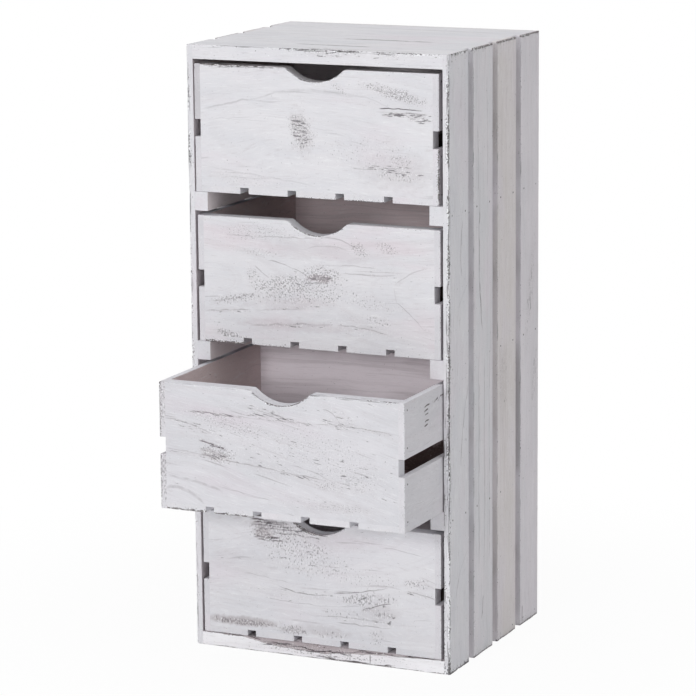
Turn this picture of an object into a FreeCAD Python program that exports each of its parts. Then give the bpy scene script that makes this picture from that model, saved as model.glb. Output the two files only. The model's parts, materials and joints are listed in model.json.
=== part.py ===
"""A crate-style chest of four slatted drawers, in whitewashed softwood.

The cabinet is a crate stood on end: a solid top and bottom board, four upright slats nailed over
their ends on each side, three runners a side for the drawers, and a thin panel behind. Each drawer
is a smaller crate: a front and a back board, two slats a side, five bottom slats. The third drawer
from the top stands partly open.

Millimetres. +X is to the right of someone facing the fronts, +Y runs from front to back and +Z is
up. The origin is the centre of the closed cabinet's underside.
"""
import FreeCAD
import Part
import Sketcher
import os

DIMENSIONS = {
    # the cabinet, outside
    "cabinet_width": 356,
    "cabinet_depth": 300,
    "cabinet_height": 780,
    # the stock that everything is cut from
    "board_thick": 18,
    "slat_thick": 8,
    "panel_thick": 4,
    "edge_ease": 0.8,
    # cabinet slats and runners
    "side_slat_width": 62,
    "runner_width": 18,
    "runner_height": 24,
    # the hollow worn into the bottom board's front edge
    "worn_half_length": 140,
    "worn_height": 7,
    "worn_depth": 6,
    # drawers
    "drawer_width": 333,
    "drawer_depth": 288,
    "drawer_height": 162,
    "drawer_setback": 1,
    "drawer_seat_gap": 0.3,
    "drawer_slat_width": 70,
    "bottom_slat_width": 54,
    "drawer_1_offset": -2,
    "drawer_2_offset": -0.5,
    "drawer_3_offset": 2,
    "drawer_4_offset": -1,
    "drawer_1_open": 0,
    "drawer_2_open": 0,
    "drawer_3_open": 118,
    "drawer_4_open": 0,
    # the hand cut-out in each drawer front
    "grip_width": 80,
    "grip_depth": 17,
    "grip_corner": 6,
    # brads
    "nail_head_radius": 1.3,
    "nail_head_thick": 0.8,
    "nail_shank_radius": 0.7,
    "nail_length": 25,
    "panel_nail_length": 16,
    "nail_inset": 10,
    "panel_nail_rise": 5,
}
CABINET_SLATS = 4
DRAWERS = 4
BOTTOM_SLATS = 5
PANEL_NAILS = 5

doc = FreeCAD.newDocument("chest")
sheet = doc.addObject("Spreadsheet::Sheet", "Sizes")
for row, (alias, number) in enumerate(DIMENSIONS.items(), start=1):
    sheet.set(f"A{row}", alias)
    sheet.set(f"B{row}", str(number))
    sheet.setAlias(f"B{row}", alias)
doc.recompute()


def cell(alias):
    """The expression that reads one cell of the sheet."""
    return f"Sizes.{alias}"


# Sizes that follow from the cells, as expressions.
OPENING_WIDTH = "(Sizes.cabinet_width - 2 * Sizes.slat_thick)"
INSIDE_DEPTH = "(Sizes.cabinet_depth - Sizes.panel_thick)"
FRONT_Y = "(-Sizes.cabinet_depth / 2)"
SIDE_SLAT_PITCH = f"((Sizes.cabinet_depth - Sizes.side_slat_width) / {CABINET_SLATS - 1})"
DRAWER_PITCH = ("((Sizes.cabinet_height - 2 * Sizes.board_thick + Sizes.runner_height)"
                f" / {DRAWERS})")
DRAWER_INSIDE = "(Sizes.drawer_width - 2 * Sizes.slat_thick)"
END_BOARD_HEIGHT = "(Sizes.drawer_height - Sizes.slat_thick)"
BOTTOM_SLAT_PITCH = f"(({DRAWER_INSIDE} - Sizes.bottom_slat_width) / {BOTTOM_SLATS - 1})"
GRIP_RADIUS = ("((Sizes.grip_width * Sizes.grip_width / 4 + Sizes.grip_depth * Sizes.grip_depth)"
               " / (2 * Sizes.grip_depth))")
WORN_BITE = ("(Sizes.worn_height * Sizes.worn_depth"
             " / sqrt(Sizes.worn_height * Sizes.worn_height + Sizes.worn_depth * Sizes.worn_depth))")
WORN_RADIUS = ("((Sizes.worn_half_length * Sizes.worn_half_length"
               f" + {WORN_BITE} * {WORN_BITE}) / (2 * {WORN_BITE}))")

# The same cells as plain numbers, for the places of the brads and of the worn hollow.
size = {alias: float(sheet.get(alias)) for alias in DIMENSIONS}
half_width = size["cabinet_width"] / 2
half_depth = size["cabinet_depth"] / 2
opening_half = half_width - size["slat_thick"]
drawer_pitch = (size["cabinet_height"] - 2 * size["board_thick"] + size["runner_height"]) / DRAWERS


def origin_plane(body, role):
    """One of a body's own origin planes, by its role."""
    return next(plane for plane in body.Origin.OriginFeatures if plane.Role == role)


def sketch_on(body, name, role):
    """An empty sketch on one of the body's origin planes."""
    sketch = body.newObject("Sketcher::SketchObject", name)
    sketch.AttachmentSupport = (origin_plane(body, role), [""])
    sketch.MapMode = "FlatFace"
    return sketch


def draw_rectangle(sketch, width, depth):
    """A rectangle with one corner on the sketch's origin, its sides bound to two expressions."""
    corners = [FreeCAD.Vector(0, 0), FreeCAD.Vector(50, 0), FreeCAD.Vector(50, 30), FreeCAD.Vector(0, 30)]
    for start, end in zip(corners, corners[1:] + corners[:1]):
        sketch.addGeometry(Part.LineSegment(start, end), False)
    for side in range(4):
        sketch.addConstraint(Sketcher.Constraint("Coincident", side, 2, (side + 1) % 4, 1))
    for side in (0, 2):
        sketch.addConstraint(Sketcher.Constraint("Horizontal", side))
    for side in (1, 3):
        sketch.addConstraint(Sketcher.Constraint("Vertical", side))
    sketch.addConstraint(Sketcher.Constraint("Coincident", 0, 1, -1, 1))
    wide = sketch.addConstraint(Sketcher.Constraint("DistanceX", 0, 1, 0, 2, 50))
    deep = sketch.addConstraint(Sketcher.Constraint("DistanceY", 1, 1, 1, 2, 30))
    sketch.setExpression(f"Constraints[{wide}]", width)
    sketch.setExpression(f"Constraints[{deep}]", depth)


def sawn_board(label, sizes, low_corner):
    """A square-edged board as a body: its x, y and z sizes and low corner are expressions."""
    body = doc.addObject("PartDesign::Body", label)
    body.Label = label
    sketch = sketch_on(body, label + "_outline", "XY_Plane")
    draw_rectangle(sketch, sizes[0], sizes[1])
    pad = body.newObject("PartDesign::Pad", label + "_pad")
    pad.Profile = sketch
    pad.setExpression("Length", sizes[2])
    for axis, expression in zip("xyz", low_corner):
        body.setExpression(f"Placement.Base.{axis}", expression)
    doc.recompute()
    return body


def ease_edges(body):
    """Take the sharp edge off every edge of a body."""
    sharp = body.Tip
    chamfer = body.newObject("PartDesign::Chamfer", body.Label + "_eased")
    chamfer.Base = (sharp, [""])
    chamfer.UseAllEdges = True
    chamfer.setExpression("Size", cell("edge_ease"))
    doc.recompute()
    return body


def board(label, sizes, low_corner):
    """A board with eased edges."""
    return ease_edges(sawn_board(label, sizes, low_corner))


def worn_bottom_board():
    """The bottom board, with a long shallow hollow rubbed into its front top edge."""
    body = board("bottom_board", (OPENING_WIDTH, INSIDE_DEPTH, cell("board_thick")),
                 (f"-{OPENING_WIDTH} / 2", FRONT_Y, "0"))
    # The hollow is a cylinder's side: its axis leans back and up, and it bites worn_height off the
    # front face and worn_depth off the top face in the middle of the edge.
    hollow = body.newObject("PartDesign::SubtractiveCylinder", "worn_hollow")
    hollow.setExpression("Radius", WORN_RADIUS)
    hollow.setExpression("Height", "3 * Sizes.board_thick")
    doc.recompute()
    along = FreeCAD.Vector(0, size["worn_depth"], size["worn_height"])
    bite = size["worn_depth"] * size["worn_height"] / along.Length
    along.normalize()
    outward = FreeCAD.Vector(0, -along.z, along.y)
    edge_middle = FreeCAD.Vector(opening_half, 0, size["board_thick"])
    base = edge_middle + outward * (hollow.Radius.Value - bite) - along * (hollow.Height.Value / 2)
    hollow.Placement = FreeCAD.Placement(base, FreeCAD.Rotation(FreeCAD.Vector(0, 0, 1), along))
    doc.recompute()
    return body


def drawer_front(label, low_corner):
    """A drawer's front board, with the hand cut-out in its top edge."""
    body = sawn_board(label, (DRAWER_INSIDE, cell("board_thick"), END_BOARD_HEIGHT), low_corner)
    sketch = sketch_on(body, label + "_grip_outline", "XZ_Plane")
    sketch.addGeometry(Part.Circle(FreeCAD.Vector(150, 190), FreeCAD.Vector(0, 0, 1), 50), False)
    radius = sketch.addConstraint(Sketcher.Constraint("Radius", 0, 50))
    across = sketch.addConstraint(Sketcher.Constraint("DistanceX", -1, 1, 0, 3, 150))
    height = sketch.addConstraint(Sketcher.Constraint("DistanceY", -1, 1, 0, 3, 190))
    sketch.setExpression(f"Constraints[{radius}]", GRIP_RADIUS)
    sketch.setExpression(f"Constraints[{across}]", f"{DRAWER_INSIDE} / 2")
    sketch.setExpression(f"Constraints[{height}]", f"{END_BOARD_HEIGHT} + {GRIP_RADIUS} - Sizes.grip_depth")
    pocket = body.newObject("PartDesign::Pocket", label + "_grip")
    pocket.Profile = sketch
    pocket.Type = "ThroughAll"
    pocket.SideType = "Symmetric"
    doc.recompute()
    top = size["drawer_height"] - size["slat_thick"]
    inside = size["drawer_width"] - 2 * size["slat_thick"]
    corners = []
    for number, edge in enumerate(pocket.Shape.Edges, start=1):
        middle = edge.CenterOfMass
        if abs(middle.z - top) < 0.01 and abs(middle.x - inside / 2) < size["grip_width"] * 0.6:
            if abs(middle.x - inside / 2) > 1 and abs(middle.y - size["board_thick"] / 2) < 0.01:
                corners.append(f"Edge{number}")
    rounded = body.newObject("PartDesign::Fillet", label + "_grip_corners")
    rounded.Base = (pocket, corners)
    rounded.setExpression("Radius", cell("grip_corner"))
    doc.recompute()
    return ease_edges(body)


def slatted_bottom(label, low_corner):
    """A drawer's bottom: slats from front to back, side by side with even gaps."""
    body = board(label, (cell("bottom_slat_width"), cell("drawer_depth"), cell("slat_thick")), low_corner)
    slats = body.newObject("PartDesign::LinearPattern", label + "_slats")
    slats.TransformMode = "Whole shape"
    slats.Direction = (next(axis for axis in body.Origin.OriginFeatures if axis.Role == "X_Axis"), [""])
    slats.Mode = "Spacing"
    slats.Occurrences = BOTTOM_SLATS
    slats.setExpression("Offset", BOTTOM_SLAT_PITCH)
    body.Tip = slats
    doc.recompute()
    return body


def nail(place, direction, length):
    """One brad whose head lies flush at place and whose shank points along direction."""
    head = Part.makeCylinder(size["nail_head_radius"], size["nail_head_thick"], place, direction)
    shank = Part.makeCylinder(size["nail_shank_radius"], length, place, direction)
    return head.fuse(shank).removeSplitter()


def nail_group(label, nails):
    """All the brads of one assembly, as separate solids in one sub-part."""
    group = doc.addObject("Part::Feature", label)
    group.Label = label
    group.Shape = Part.makeCompound(nails)
    group.Placement = FreeCAD.Placement()
    return group


def cabinet():
    """The top and bottom boards, the side slats, the runners, the back panel and their brads."""
    parts = [worn_bottom_board()]
    parts.append(board("top_board", (OPENING_WIDTH, INSIDE_DEPTH, cell("board_thick")),
                       (f"-{OPENING_WIDTH} / 2", FRONT_Y, "Sizes.cabinet_height - Sizes.board_thick")))
    slat_sizes = (cell("slat_thick"), cell("side_slat_width"), cell("cabinet_height"))
    runner_sizes = (cell("runner_width"), INSIDE_DEPTH, cell("runner_height"))
    slat_x = {"left": "-Sizes.cabinet_width / 2", "right": "Sizes.cabinet_width / 2 - Sizes.slat_thick"}
    runner_x = {"left": f"-{OPENING_WIDTH} / 2", "right": f"{OPENING_WIDTH} / 2 - Sizes.runner_width"}
    for side in ("left", "right"):
        for number in range(1, CABINET_SLATS + 1):
            low_y = f"{FRONT_Y} + {number - 1} * {SIDE_SLAT_PITCH}"
            parts.append(board(f"side_slat_{side}_{number}", slat_sizes, (slat_x[side], low_y, "0")))
        for number in range(1, DRAWERS):
            low_z = f"Sizes.board_thick + {DRAWERS - number} * {DRAWER_PITCH} - Sizes.runner_height"
            parts.append(board(f"runner_{side}_{number}", runner_sizes, (runner_x[side], FRONT_Y, low_z)))
    parts.append(board("back_panel", (OPENING_WIDTH, cell("panel_thick"), cell("cabinet_height")),
                       (f"-{OPENING_WIDTH} / 2", f"{FRONT_Y} + {INSIDE_DEPTH}", "0")))
    parts.append(nail_group("cabinet_nails", slat_nails() + panel_nails()))
    return parts


def fixing_heights():
    """The heights at which a side slat is nailed: both boards' ends and every runner."""
    heights = [size["board_thick"] / 2, size["cabinet_height"] - size["board_thick"] / 2]
    for number in range(1, DRAWERS):
        heights.append(size["board_thick"] + number * drawer_pitch - size["runner_height"] / 2)
    return heights


def slat_nails():
    """A pair of brads through each side slat at each fixing height."""
    nails = []
    pitch = (size["cabinet_depth"] - size["side_slat_width"]) / (CABINET_SLATS - 1)
    for side in (-1, 1):
        inward = FreeCAD.Vector(-side, 0, 0)
        for slat in range(CABINET_SLATS):
            slat_front = -half_depth + slat * pitch
            for from_edge in (size["nail_inset"], size["side_slat_width"] - size["nail_inset"]):
                for height in fixing_heights():
                    place = FreeCAD.Vector(side * half_width, slat_front + from_edge, height)
                    nails.append(nail(place, inward, size["nail_length"]))
    return nails


def panel_nails():
    """Brads through the back panel into both boards and each runner's end, clear of the slat brads."""
    nails = []
    forward = FreeCAD.Vector(0, -1, 0)
    reach = opening_half - size["runner_width"] / 2
    for height in fixing_heights():
        at_board = height < size["board_thick"] or height > size["cabinet_height"] - size["board_thick"]
        count = PANEL_NAILS if at_board else 2
        for step in range(count):
            across = -reach + 2 * reach * step / (count - 1)
            place = FreeCAD.Vector(across, half_depth, height + size["panel_nail_rise"])
            nails.append(nail(place, forward, size["panel_nail_length"]))
    return nails


def drawer(number):
    """One drawer, numbered from the top."""
    name = f"drawer_{number}"
    low_x = f"(Sizes.{name}_offset - Sizes.drawer_width / 2)"
    front_y = f"({FRONT_Y} + Sizes.drawer_setback - Sizes.{name}_open)"
    low_z = f"(Sizes.board_thick + {DRAWERS - number} * {DRAWER_PITCH} + Sizes.drawer_seat_gap)"
    inside_x = f"{low_x} + Sizes.slat_thick"
    back_y = f"{front_y} + Sizes.drawer_depth - Sizes.board_thick"
    end_z = f"{low_z} + Sizes.slat_thick"
    parts = [drawer_front(name + "_front", (inside_x, front_y, end_z))]
    parts.append(board(name + "_back", (DRAWER_INSIDE, cell("board_thick"), END_BOARD_HEIGHT),
                       (inside_x, back_y, end_z)))
    slat_sizes = (cell("slat_thick"), cell("drawer_depth"), cell("drawer_slat_width"))
    slat_x = {"left": low_x, "right": f"{low_x} + Sizes.drawer_width - Sizes.slat_thick"}
    slat_z = {"lower": low_z, "upper": f"{low_z} + Sizes.drawer_height - Sizes.drawer_slat_width"}
    for side in slat_x:
        for level in slat_z:
            parts.append(board(f"{name}_side_{side}_{level}", slat_sizes,
                               (slat_x[side], front_y, slat_z[level])))
    parts.append(slatted_bottom(name + "_bottom", (inside_x, front_y, low_z)))
    parts.append(nail_group(name + "_nails", drawer_nails(number)))
    return parts


def drawer_nails(number):
    """Brads through a drawer's side and bottom slats into its front and back boards."""
    middle = size[f"drawer_{number}_offset"]
    front = -half_depth + size["drawer_setback"] - size[f"drawer_{number}_open"]
    low = size["board_thick"] + (DRAWERS - number) * drawer_pitch + size["drawer_seat_gap"]
    board_middle = size["board_thick"] / 2
    ends = (front + board_middle, front + size["drawer_depth"] - board_middle)
    nails = []
    upper = size["drawer_height"] - size["drawer_slat_width"]
    slat_nail_inset = size["slat_thick"] + size["nail_inset"] / 2
    for side in (-1, 1):
        for slat_low in (low, low + upper):
            for rise in (slat_nail_inset, size["drawer_slat_width"] - size["nail_inset"]):
                for end in ends:
                    place = FreeCAD.Vector(middle + side * size["drawer_width"] / 2, end, slat_low + rise)
                    nails.append(nail(place, FreeCAD.Vector(-side, 0, 0), size["nail_length"]))
    inside = size["drawer_width"] - 2 * size["slat_thick"]
    pitch = (inside - size["bottom_slat_width"]) / (BOTTOM_SLATS - 1)
    for slat in range(BOTTOM_SLATS):
        across = middle + (slat - (BOTTOM_SLATS - 1) / 2) * pitch
        for end in ends:
            nails.append(nail(FreeCAD.Vector(across, end, low), FreeCAD.Vector(0, 0, 1), size["nail_length"]))
    return nails


chest = cabinet()
for drawer_number in range(1, DRAWERS + 1):
    chest += drawer(drawer_number)
doc.recompute()

for item in doc.Objects:
    if "Invalid" in item.State or "Error" in item.State:
        raise RuntimeError(f"{item.Label} failed: {item.State}")
for part in chest:
    if part.Shape.isNull() or not part.Shape.isValid():
        raise RuntimeError(f"{part.Label} has no valid shape")

os.makedirs("parts", exist_ok=True)
for part in chest:
    part.Shape.exportStep(f"parts/{part.Label}.step")
    box = part.Shape.BoundBox
    print(f"{part.Label:28s} solids {len(part.Shape.Solids):3d}  volume {part.Shape.Volume:12.1f} mm3"
          f"  x {box.XMin:7.1f} {box.XMax:7.1f}  y {box.YMin:7.1f} {box.YMax:7.1f}"
          f"  z {box.ZMin:6.1f} {box.ZMax:6.1f}")
print(len(chest), "parts written")
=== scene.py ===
# %% [markdown]
# # A crate-style chest of drawers in whitewashed wood
# The chest is a crate stood on end, and its four drawers are smaller crates. Apart from the thin back
# panel, everything is cut from three kinds of stock: 8 mm slats, 18 mm boards and 18 x 24 mm runners.
# So the lesson has two halves: one mesh function that makes any worn board, and one family of shader
# groups that makes any whitewashed surface. The rest is choosing values for each board.
#
# The CAD frame comes first. It holds every board at its real size and place, and nothing here moves
# or resizes it: a dressed piece is built inside the box of the node that it stands for.

# %% Load the frame
import json
import math
from functools import partial
import bpy
import numpy as np
from mathutils import Matrix, Vector, noise


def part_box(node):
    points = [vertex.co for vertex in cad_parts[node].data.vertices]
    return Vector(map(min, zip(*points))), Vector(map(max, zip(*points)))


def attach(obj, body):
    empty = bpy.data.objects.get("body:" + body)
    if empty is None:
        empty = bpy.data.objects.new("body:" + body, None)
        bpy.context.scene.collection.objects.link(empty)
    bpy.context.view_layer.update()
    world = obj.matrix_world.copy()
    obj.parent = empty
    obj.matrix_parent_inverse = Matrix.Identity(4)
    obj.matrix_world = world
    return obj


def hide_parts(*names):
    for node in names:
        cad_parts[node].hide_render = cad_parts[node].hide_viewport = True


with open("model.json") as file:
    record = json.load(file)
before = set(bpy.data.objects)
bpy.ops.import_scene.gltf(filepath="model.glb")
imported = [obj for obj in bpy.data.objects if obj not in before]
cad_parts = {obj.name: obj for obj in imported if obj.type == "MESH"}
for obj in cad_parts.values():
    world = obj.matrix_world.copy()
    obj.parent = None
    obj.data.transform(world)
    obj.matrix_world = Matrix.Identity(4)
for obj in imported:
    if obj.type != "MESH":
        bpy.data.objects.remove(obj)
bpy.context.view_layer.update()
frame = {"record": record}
MM = 0.001
node_body = {node: body for body, nodes in frame["record"]["behaviour"]["bodies"].items() for node in nodes}

# %% [markdown]
# ## The camera
# A long lens far away keeps the upright edges nearly parallel, which is how furniture is usually
# shown. A camera could be placed by hand, or by a Track To constraint. Here its place is worked out
# from an aim point, a distance and two angles, because those four are easy to read and to change. A
# third angle rolls it by half a degree. The sensor width counts across the picture, as it does by
# default in a square one.

# %% Place the camera
CAMERA_AZIMUTH = math.radians(24.715)
CAMERA_ELEVATION = math.radians(11.526)
CAMERA_ROLL = math.radians(-0.507)
CAMERA_DISTANCE = 4.169
CAMERA_AIM = Vector((-0.0094, -0.0406, 0.3840))
CAMERA_LENS = 167.81

camera_data = bpy.data.cameras.new("camera")
camera_data.lens = CAMERA_LENS
camera_data.sensor_width = 36.0
camera_data.sensor_fit = "HORIZONTAL"
camera = bpy.data.objects.new("camera", camera_data)
bpy.context.scene.collection.objects.link(camera)
bpy.context.scene.camera = camera
toward_camera = Vector((
    math.sin(CAMERA_AZIMUTH) * math.cos(CAMERA_ELEVATION),
    -math.cos(CAMERA_AZIMUTH) * math.cos(CAMERA_ELEVATION),
    math.sin(CAMERA_ELEVATION),
))
camera.location = CAMERA_AIM + toward_camera * CAMERA_DISTANCE
turn = Matrix.Rotation(CAMERA_AZIMUTH, 4, "Z") @ Matrix.Rotation(math.pi / 2 - CAMERA_ELEVATION, 4, "X")
camera.rotation_euler = (turn @ Matrix.Rotation(CAMERA_ROLL, 4, "Z")).to_euler()
print("camera at", [round(place, 3) for place in camera.location])

# %% [markdown]
# ## Helpers for node trees
# A shader is a tree of nodes, and placing each one takes three or four lines. These helpers make a
# node, set it and join it in one line, so that a tree reads like a sum. A socket knows the tree that
# it is in, as its id_data, so most of them only need sockets and numbers. partial makes a function
# out of another one by giving some of its values beforehand. Colours are written in the values from
# 0 to 255 that a screen shows, and turned into the linear values that shaders use.

# %% Nodes, sums and mixes
def screen(red, green, blue):
    """A colour given in screen values from 0 to 255, as the linear values that shaders use."""
    def linear(value):
        share = value / 255
        return share / 12.92 if share <= 0.04045 else ((share + 0.055) / 1.055) ** 2.4
    return (linear(red), linear(green), linear(blue), 1.0)


def empty_tree(owner):
    """The emptied node tree of a new material or world."""
    owner.use_nodes = True
    owner.node_tree.nodes.clear()
    return owner.node_tree


def set_inputs(node, inputs):
    """Joins each input to a socket, or gives it a value."""
    for key, value in inputs.items():
        if isinstance(value, bpy.types.NodeSocket):
            node.id_data.links.new(value, node.inputs[key])
        else:
            node.inputs[key].default_value = value


def add(tree, kind, inputs=None, **settings):
    """A node with its settings and its inputs."""
    node = tree.nodes.new("ShaderNode" + kind)
    for setting, value in settings.items():
        setattr(node, setting, value)
    set_inputs(node, inputs or {})
    return node


def maths(operation, *values, kind="Math", output=0):
    """One output of a Math or Vector Math node on sockets and plain values."""
    tree = next(value.id_data for value in values if isinstance(value, bpy.types.NodeSocket))
    return add(tree, kind, dict(enumerate(values)), operation=operation).outputs[output]


plus = partial(maths, "ADD")
minus = partial(maths, "SUBTRACT")
divided = partial(maths, "DIVIDE")
size_of = partial(maths, "ABSOLUTE")
greater = partial(maths, "MAXIMUM")
apart = partial(maths, "SUBTRACT", kind="VectorMath")
length_of = partial(maths, "LENGTH", kind="VectorMath", output="Value")


def times(product, *others):
    """The product of one or more values."""
    for other in others:
        product = maths("MULTIPLY", product, other)
    return product


def split(vector):
    """The three parts of a vector."""
    return add(vector.id_data, "SeparateXYZ", {0: vector}).outputs


def ramp(value, start, stop):
    """0 on start's side, 1 on stop's side, smooth between; start may be above stop."""
    node = add(value.id_data, "MapRange", {"Value": value, "From Min": start, "From Max": stop},
               interpolation_type="SMOOTHSTEP")
    return node.outputs["Result"]


def mixed(share, first, second):
    """Two colours mixed by a share."""
    return add(share.id_data, "Mix", {0: share, 6: first, 7: second}, data_type="RGBA").outputs[2]


print("helpers ready, a light grey is", [round(share, 3) for share in screen(222, 221, 226)])

# %% [markdown]
# ## Light
# White furniture needs soft, even light, or its grain disappears. A lamp low in front makes the fronts
# the brightest faces and reaches through the gaps to the backs of the drawers, which a high lamp
# can't. A weaker, larger one lights the side, one above lights the top, one behind keeps the back and
# the far side from going dull, and the white world fills the shadows. The view transform is Standard,
# so a colour renders about as it is written.

# %% World and lamps
WORLD_FILL = 0.42
WHITE = (1.0, 1.0, 1.0, 1.0)
LAMP_AIM = Vector((0.0, 0.0, 0.4))
LAMPS = {
    "key_lamp": {"place": (-0.1, -3.4, 1.2), "size": 0.7, "watts": 42.0},
    "side_lamp": {"place": (3.2, -1.2, 1.6), "size": 1.6, "watts": 15.0},
    "top_lamp": {"place": (0.0, -0.4, 3.4), "size": 1.8, "watts": 26.0},
    "back_lamp": {"place": (-1.8, 3.0, 0.9), "size": 1.6, "watts": 11.0},
}

scene = bpy.context.scene
scene.view_settings.view_transform = "Standard"
scene.world = bpy.data.worlds.new("studio")
tree = empty_tree(scene.world)
fill = add(tree, "Background", {"Color": WHITE, "Strength": WORLD_FILL})
plain_white = add(tree, "Background", {"Color": WHITE, "Strength": 1.0})
rays = add(tree, "LightPath").outputs
seen_or_mirrored = greater(rays["Is Camera Ray"], rays["Is Glossy Ray"])
choose = add(tree, "MixShader", {0: seen_or_mirrored, 1: fill.outputs[0], 2: plain_white.outputs[0]})
add(tree, "OutputWorld", {"Surface": choose.outputs[0]})

for name, values in LAMPS.items():
    lamp_data = bpy.data.lights.new(name, "AREA")
    lamp_data.shape = "SQUARE"
    lamp_data.size = values["size"]
    lamp_data.energy = values["watts"]
    lamp = bpy.data.objects.new(name, lamp_data)
    scene.collection.objects.link(lamp)
    lamp.location = values["place"]
    lamp.rotation_euler = (LAMP_AIM - lamp.location).to_track_quat("-Z", "Y").to_euler()
print("world fill", WORLD_FILL, "and", len(LAMPS), "lamps")

# %% [markdown]
# ## The floor
# A pale floor gives the chest a place to stand and holds its shadow. To the camera it is mostly plain
# white light with a little of its true shading mixed in, so that the contact shadow stays while the
# floor melts into the background. The Light Path node tells camera rays from the others, and the
# share of true shading falls to nothing a short way from the chest, so the floor has no visible rim.

# %% Make the floor
FLOOR_HALF = 6.0
FLOOR_SUNK = 0.2 * MM
FLOOR_GREY = (0.90, 0.90, 0.90, 1.0)
FLOOR_SHADING_SEEN = 0.06
SHADING_FADES_FROM = 0.28
SHADING_GONE_AT = 0.85

floor_mesh = bpy.data.meshes.new("floor")
floor_corners = [(x * FLOOR_HALF, y * FLOOR_HALF, 0.0) for x, y in ((-1, -1), (1, -1), (1, 1), (-1, 1))]
floor_mesh.from_pydata(floor_corners, [], [(0, 1, 2, 3)])
floor = bpy.data.objects.new("floor", floor_mesh)
scene.collection.objects.link(floor)
floor.location.z = -FLOOR_SUNK

floor_paint = bpy.data.materials.new("pale_floor")
tree = empty_tree(floor_paint)
true_shading = add(tree, "BsdfDiffuse", {"Color": FLOOR_GREY}).outputs[0]
white_light = add(tree, "Emission", {"Strength": 1.0}).outputs[0]
from_middle = length_of(add(tree, "NewGeometry").outputs["Position"])
faded = times(ramp(from_middle, SHADING_FADES_FROM, SHADING_GONE_AT), FLOOR_SHADING_SEEN)
rays = add(tree, "LightPath").outputs
share = times(plus(1.0 - FLOOR_SHADING_SEEN, faded), rays["Is Camera Ray"])
floor_mix = add(tree, "MixShader", {0: share, 1: true_shading, 2: white_light})
add(tree, "OutputMaterial", {"Surface": floor_mix.outputs[0]})
floor_mesh.materials.append(floor_paint)
print("floor", 2 * FLOOR_HALF, "m square")

# %% [markdown]
# ## A worn board
# A sawn board is a box, but an old painted one has no sharp edge left: its arrises are rubbed round,
# more in some places than in others, and chipped here and there. A Bevel modifier gives every edge
# one even radius, and sculpting can't be repeated for fifty boards. So the board is built as a fine
# lattice over the surface of a box, with its lines crowded near the edges, and each point near an
# edge is pulled onto an arc whose radius changes along the edge with noise.
#
# Five things are stored on the points for the shader: where the point lies in the board's own grain
# directions, how strongly it is rubbed, whether it is on a sawn end, whether it faces the inside, and
# one seed number that makes each board's figure its own.

# %% Lattice lines along one side of a board
EDGE_LINES = [0.0, 0.35, 0.75, 1.25, 2.0, 3.2, 5.0]
EDGE_LINES_REACH = 0.45


def lattice_lines(length, step):
    """Places of the lattice lines along a side, crowded near both ends, in metres."""
    near = [line * MM for line in EDGE_LINES if line * MM < length * EDGE_LINES_REACH]
    start, stop = near[-1], length - near[-1]
    count = max(1, math.ceil((stop - start) / step))
    inner = [start + (stop - start) * i / count for i in range(1, count)]
    return np.array(near + inner + [length - line for line in reversed(near)])


print("an 8 mm side gets", len(lattice_lines(8 * MM, 4 * MM)), "lines")


# %% The surface of a box as a lattice
def box_lattice(size, steps):
    """Points and quads that cover a box from (0, 0, 0) to size."""
    lines = [lattice_lines(size[axis], steps[axis]) for axis in range(3)]
    shape = tuple(len(along) for along in lines)
    grid = np.indices(shape).reshape(3, -1).T
    last = np.array(shape) - 1
    outside = ((grid == 0) | (grid == last)).any(axis=1)
    number = np.full(shape, -1)
    number.reshape(-1)[outside] = np.arange(outside.sum())
    points = np.stack([lines[axis][grid[outside][:, axis]] for axis in range(3)], axis=1)
    quads = []
    for axis in range(3):
        for end in (0, -1):
            sheet = np.take(number, end, axis=axis)
            corners = [sheet[:-1, :-1], sheet[1:, :-1], sheet[1:, 1:], sheet[:-1, 1:]]
            if (end == 0) == (axis != 1):
                corners.reverse()
            quads.append(np.stack([corner.reshape(-1) for corner in corners], axis=1))
    return points, np.concatenate(quads)


test_points, test_quads = box_lattice((0.1, 0.05, 0.02), (0.01, 0.01, 0.01))
print(len(test_points), "points and", len(test_quads), "quads on a test box")

# %% [markdown]
# ## How an edge wears
# Each of a box's twelve edges has a name made of two sides, such as ("y-", "x+") for the one between
# the front and the right. A board's wear is a short list of edges with a strength, and every other
# edge gets one light strength. 0 is an edge as it was sawn, 1 is well rubbed, and the most worn goes
# a little over 2. The strength sets how round the edge is and how wide its rubbed band is. Where two
# boards meet flush it is 0, so that the joint stays as tight as a painted one. An edge that is worn
# more in one stretch than another gets a list of stops instead of one number: (place along the edge
# in millimetres, strength).

# %% Rub strength and edge radius
AXES = "xyz"
SMALLEST_RADIUS = 0.04 * MM
WORN_RADIUS = 1.6 * MM
CHIP_RADIUS = 2.6 * MM
CHIP_GAIN = 2.2
RUBBED_BAND = 3.2 * MM
PLAIN_WEAR = 0.22


def side_distance(points, size, side):
    """How far each point lies from one side of the box, such as "x+"."""
    axis = AXES.index(side[0])
    return points[:, axis] if side[1] == "-" else size[axis] - points[:, axis]


def strength_along(strength, places):
    """A wear strength, or a list of stops read at each place along the edge."""
    if isinstance(strength, (int, float)):
        return strength
    stops = np.array(strength)
    return np.interp(places, stops[:, 0] * MM, stops[:, 1])


def rub_of(points, size, wear):
    """Rub strength at each point: greatest at a worn edge, falling away across the rubbed band."""
    rub = np.zeros(len(points))
    for first, second in ((0, 1), (0, 2), (1, 2)):
        for pair in [(AXES[first] + a, AXES[second] + b) for a in "-+" for b in "-+"]:
            strength = wear.get(pair, wear.get(pair[::-1], PLAIN_WEAR))
            strength = strength_along(strength, points[:, 3 - first - second])
            far = np.maximum(*[side_distance(points, size, side) for side in pair])
            rub = np.maximum(rub, strength * np.exp(-far / RUBBED_BAND))
    return rub


print("rub at an edge, 4 mm in and 8 mm in:",
      [round(math.exp(-far * MM / RUBBED_BAND), 2) for far in (0, 4, 8)])

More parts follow.
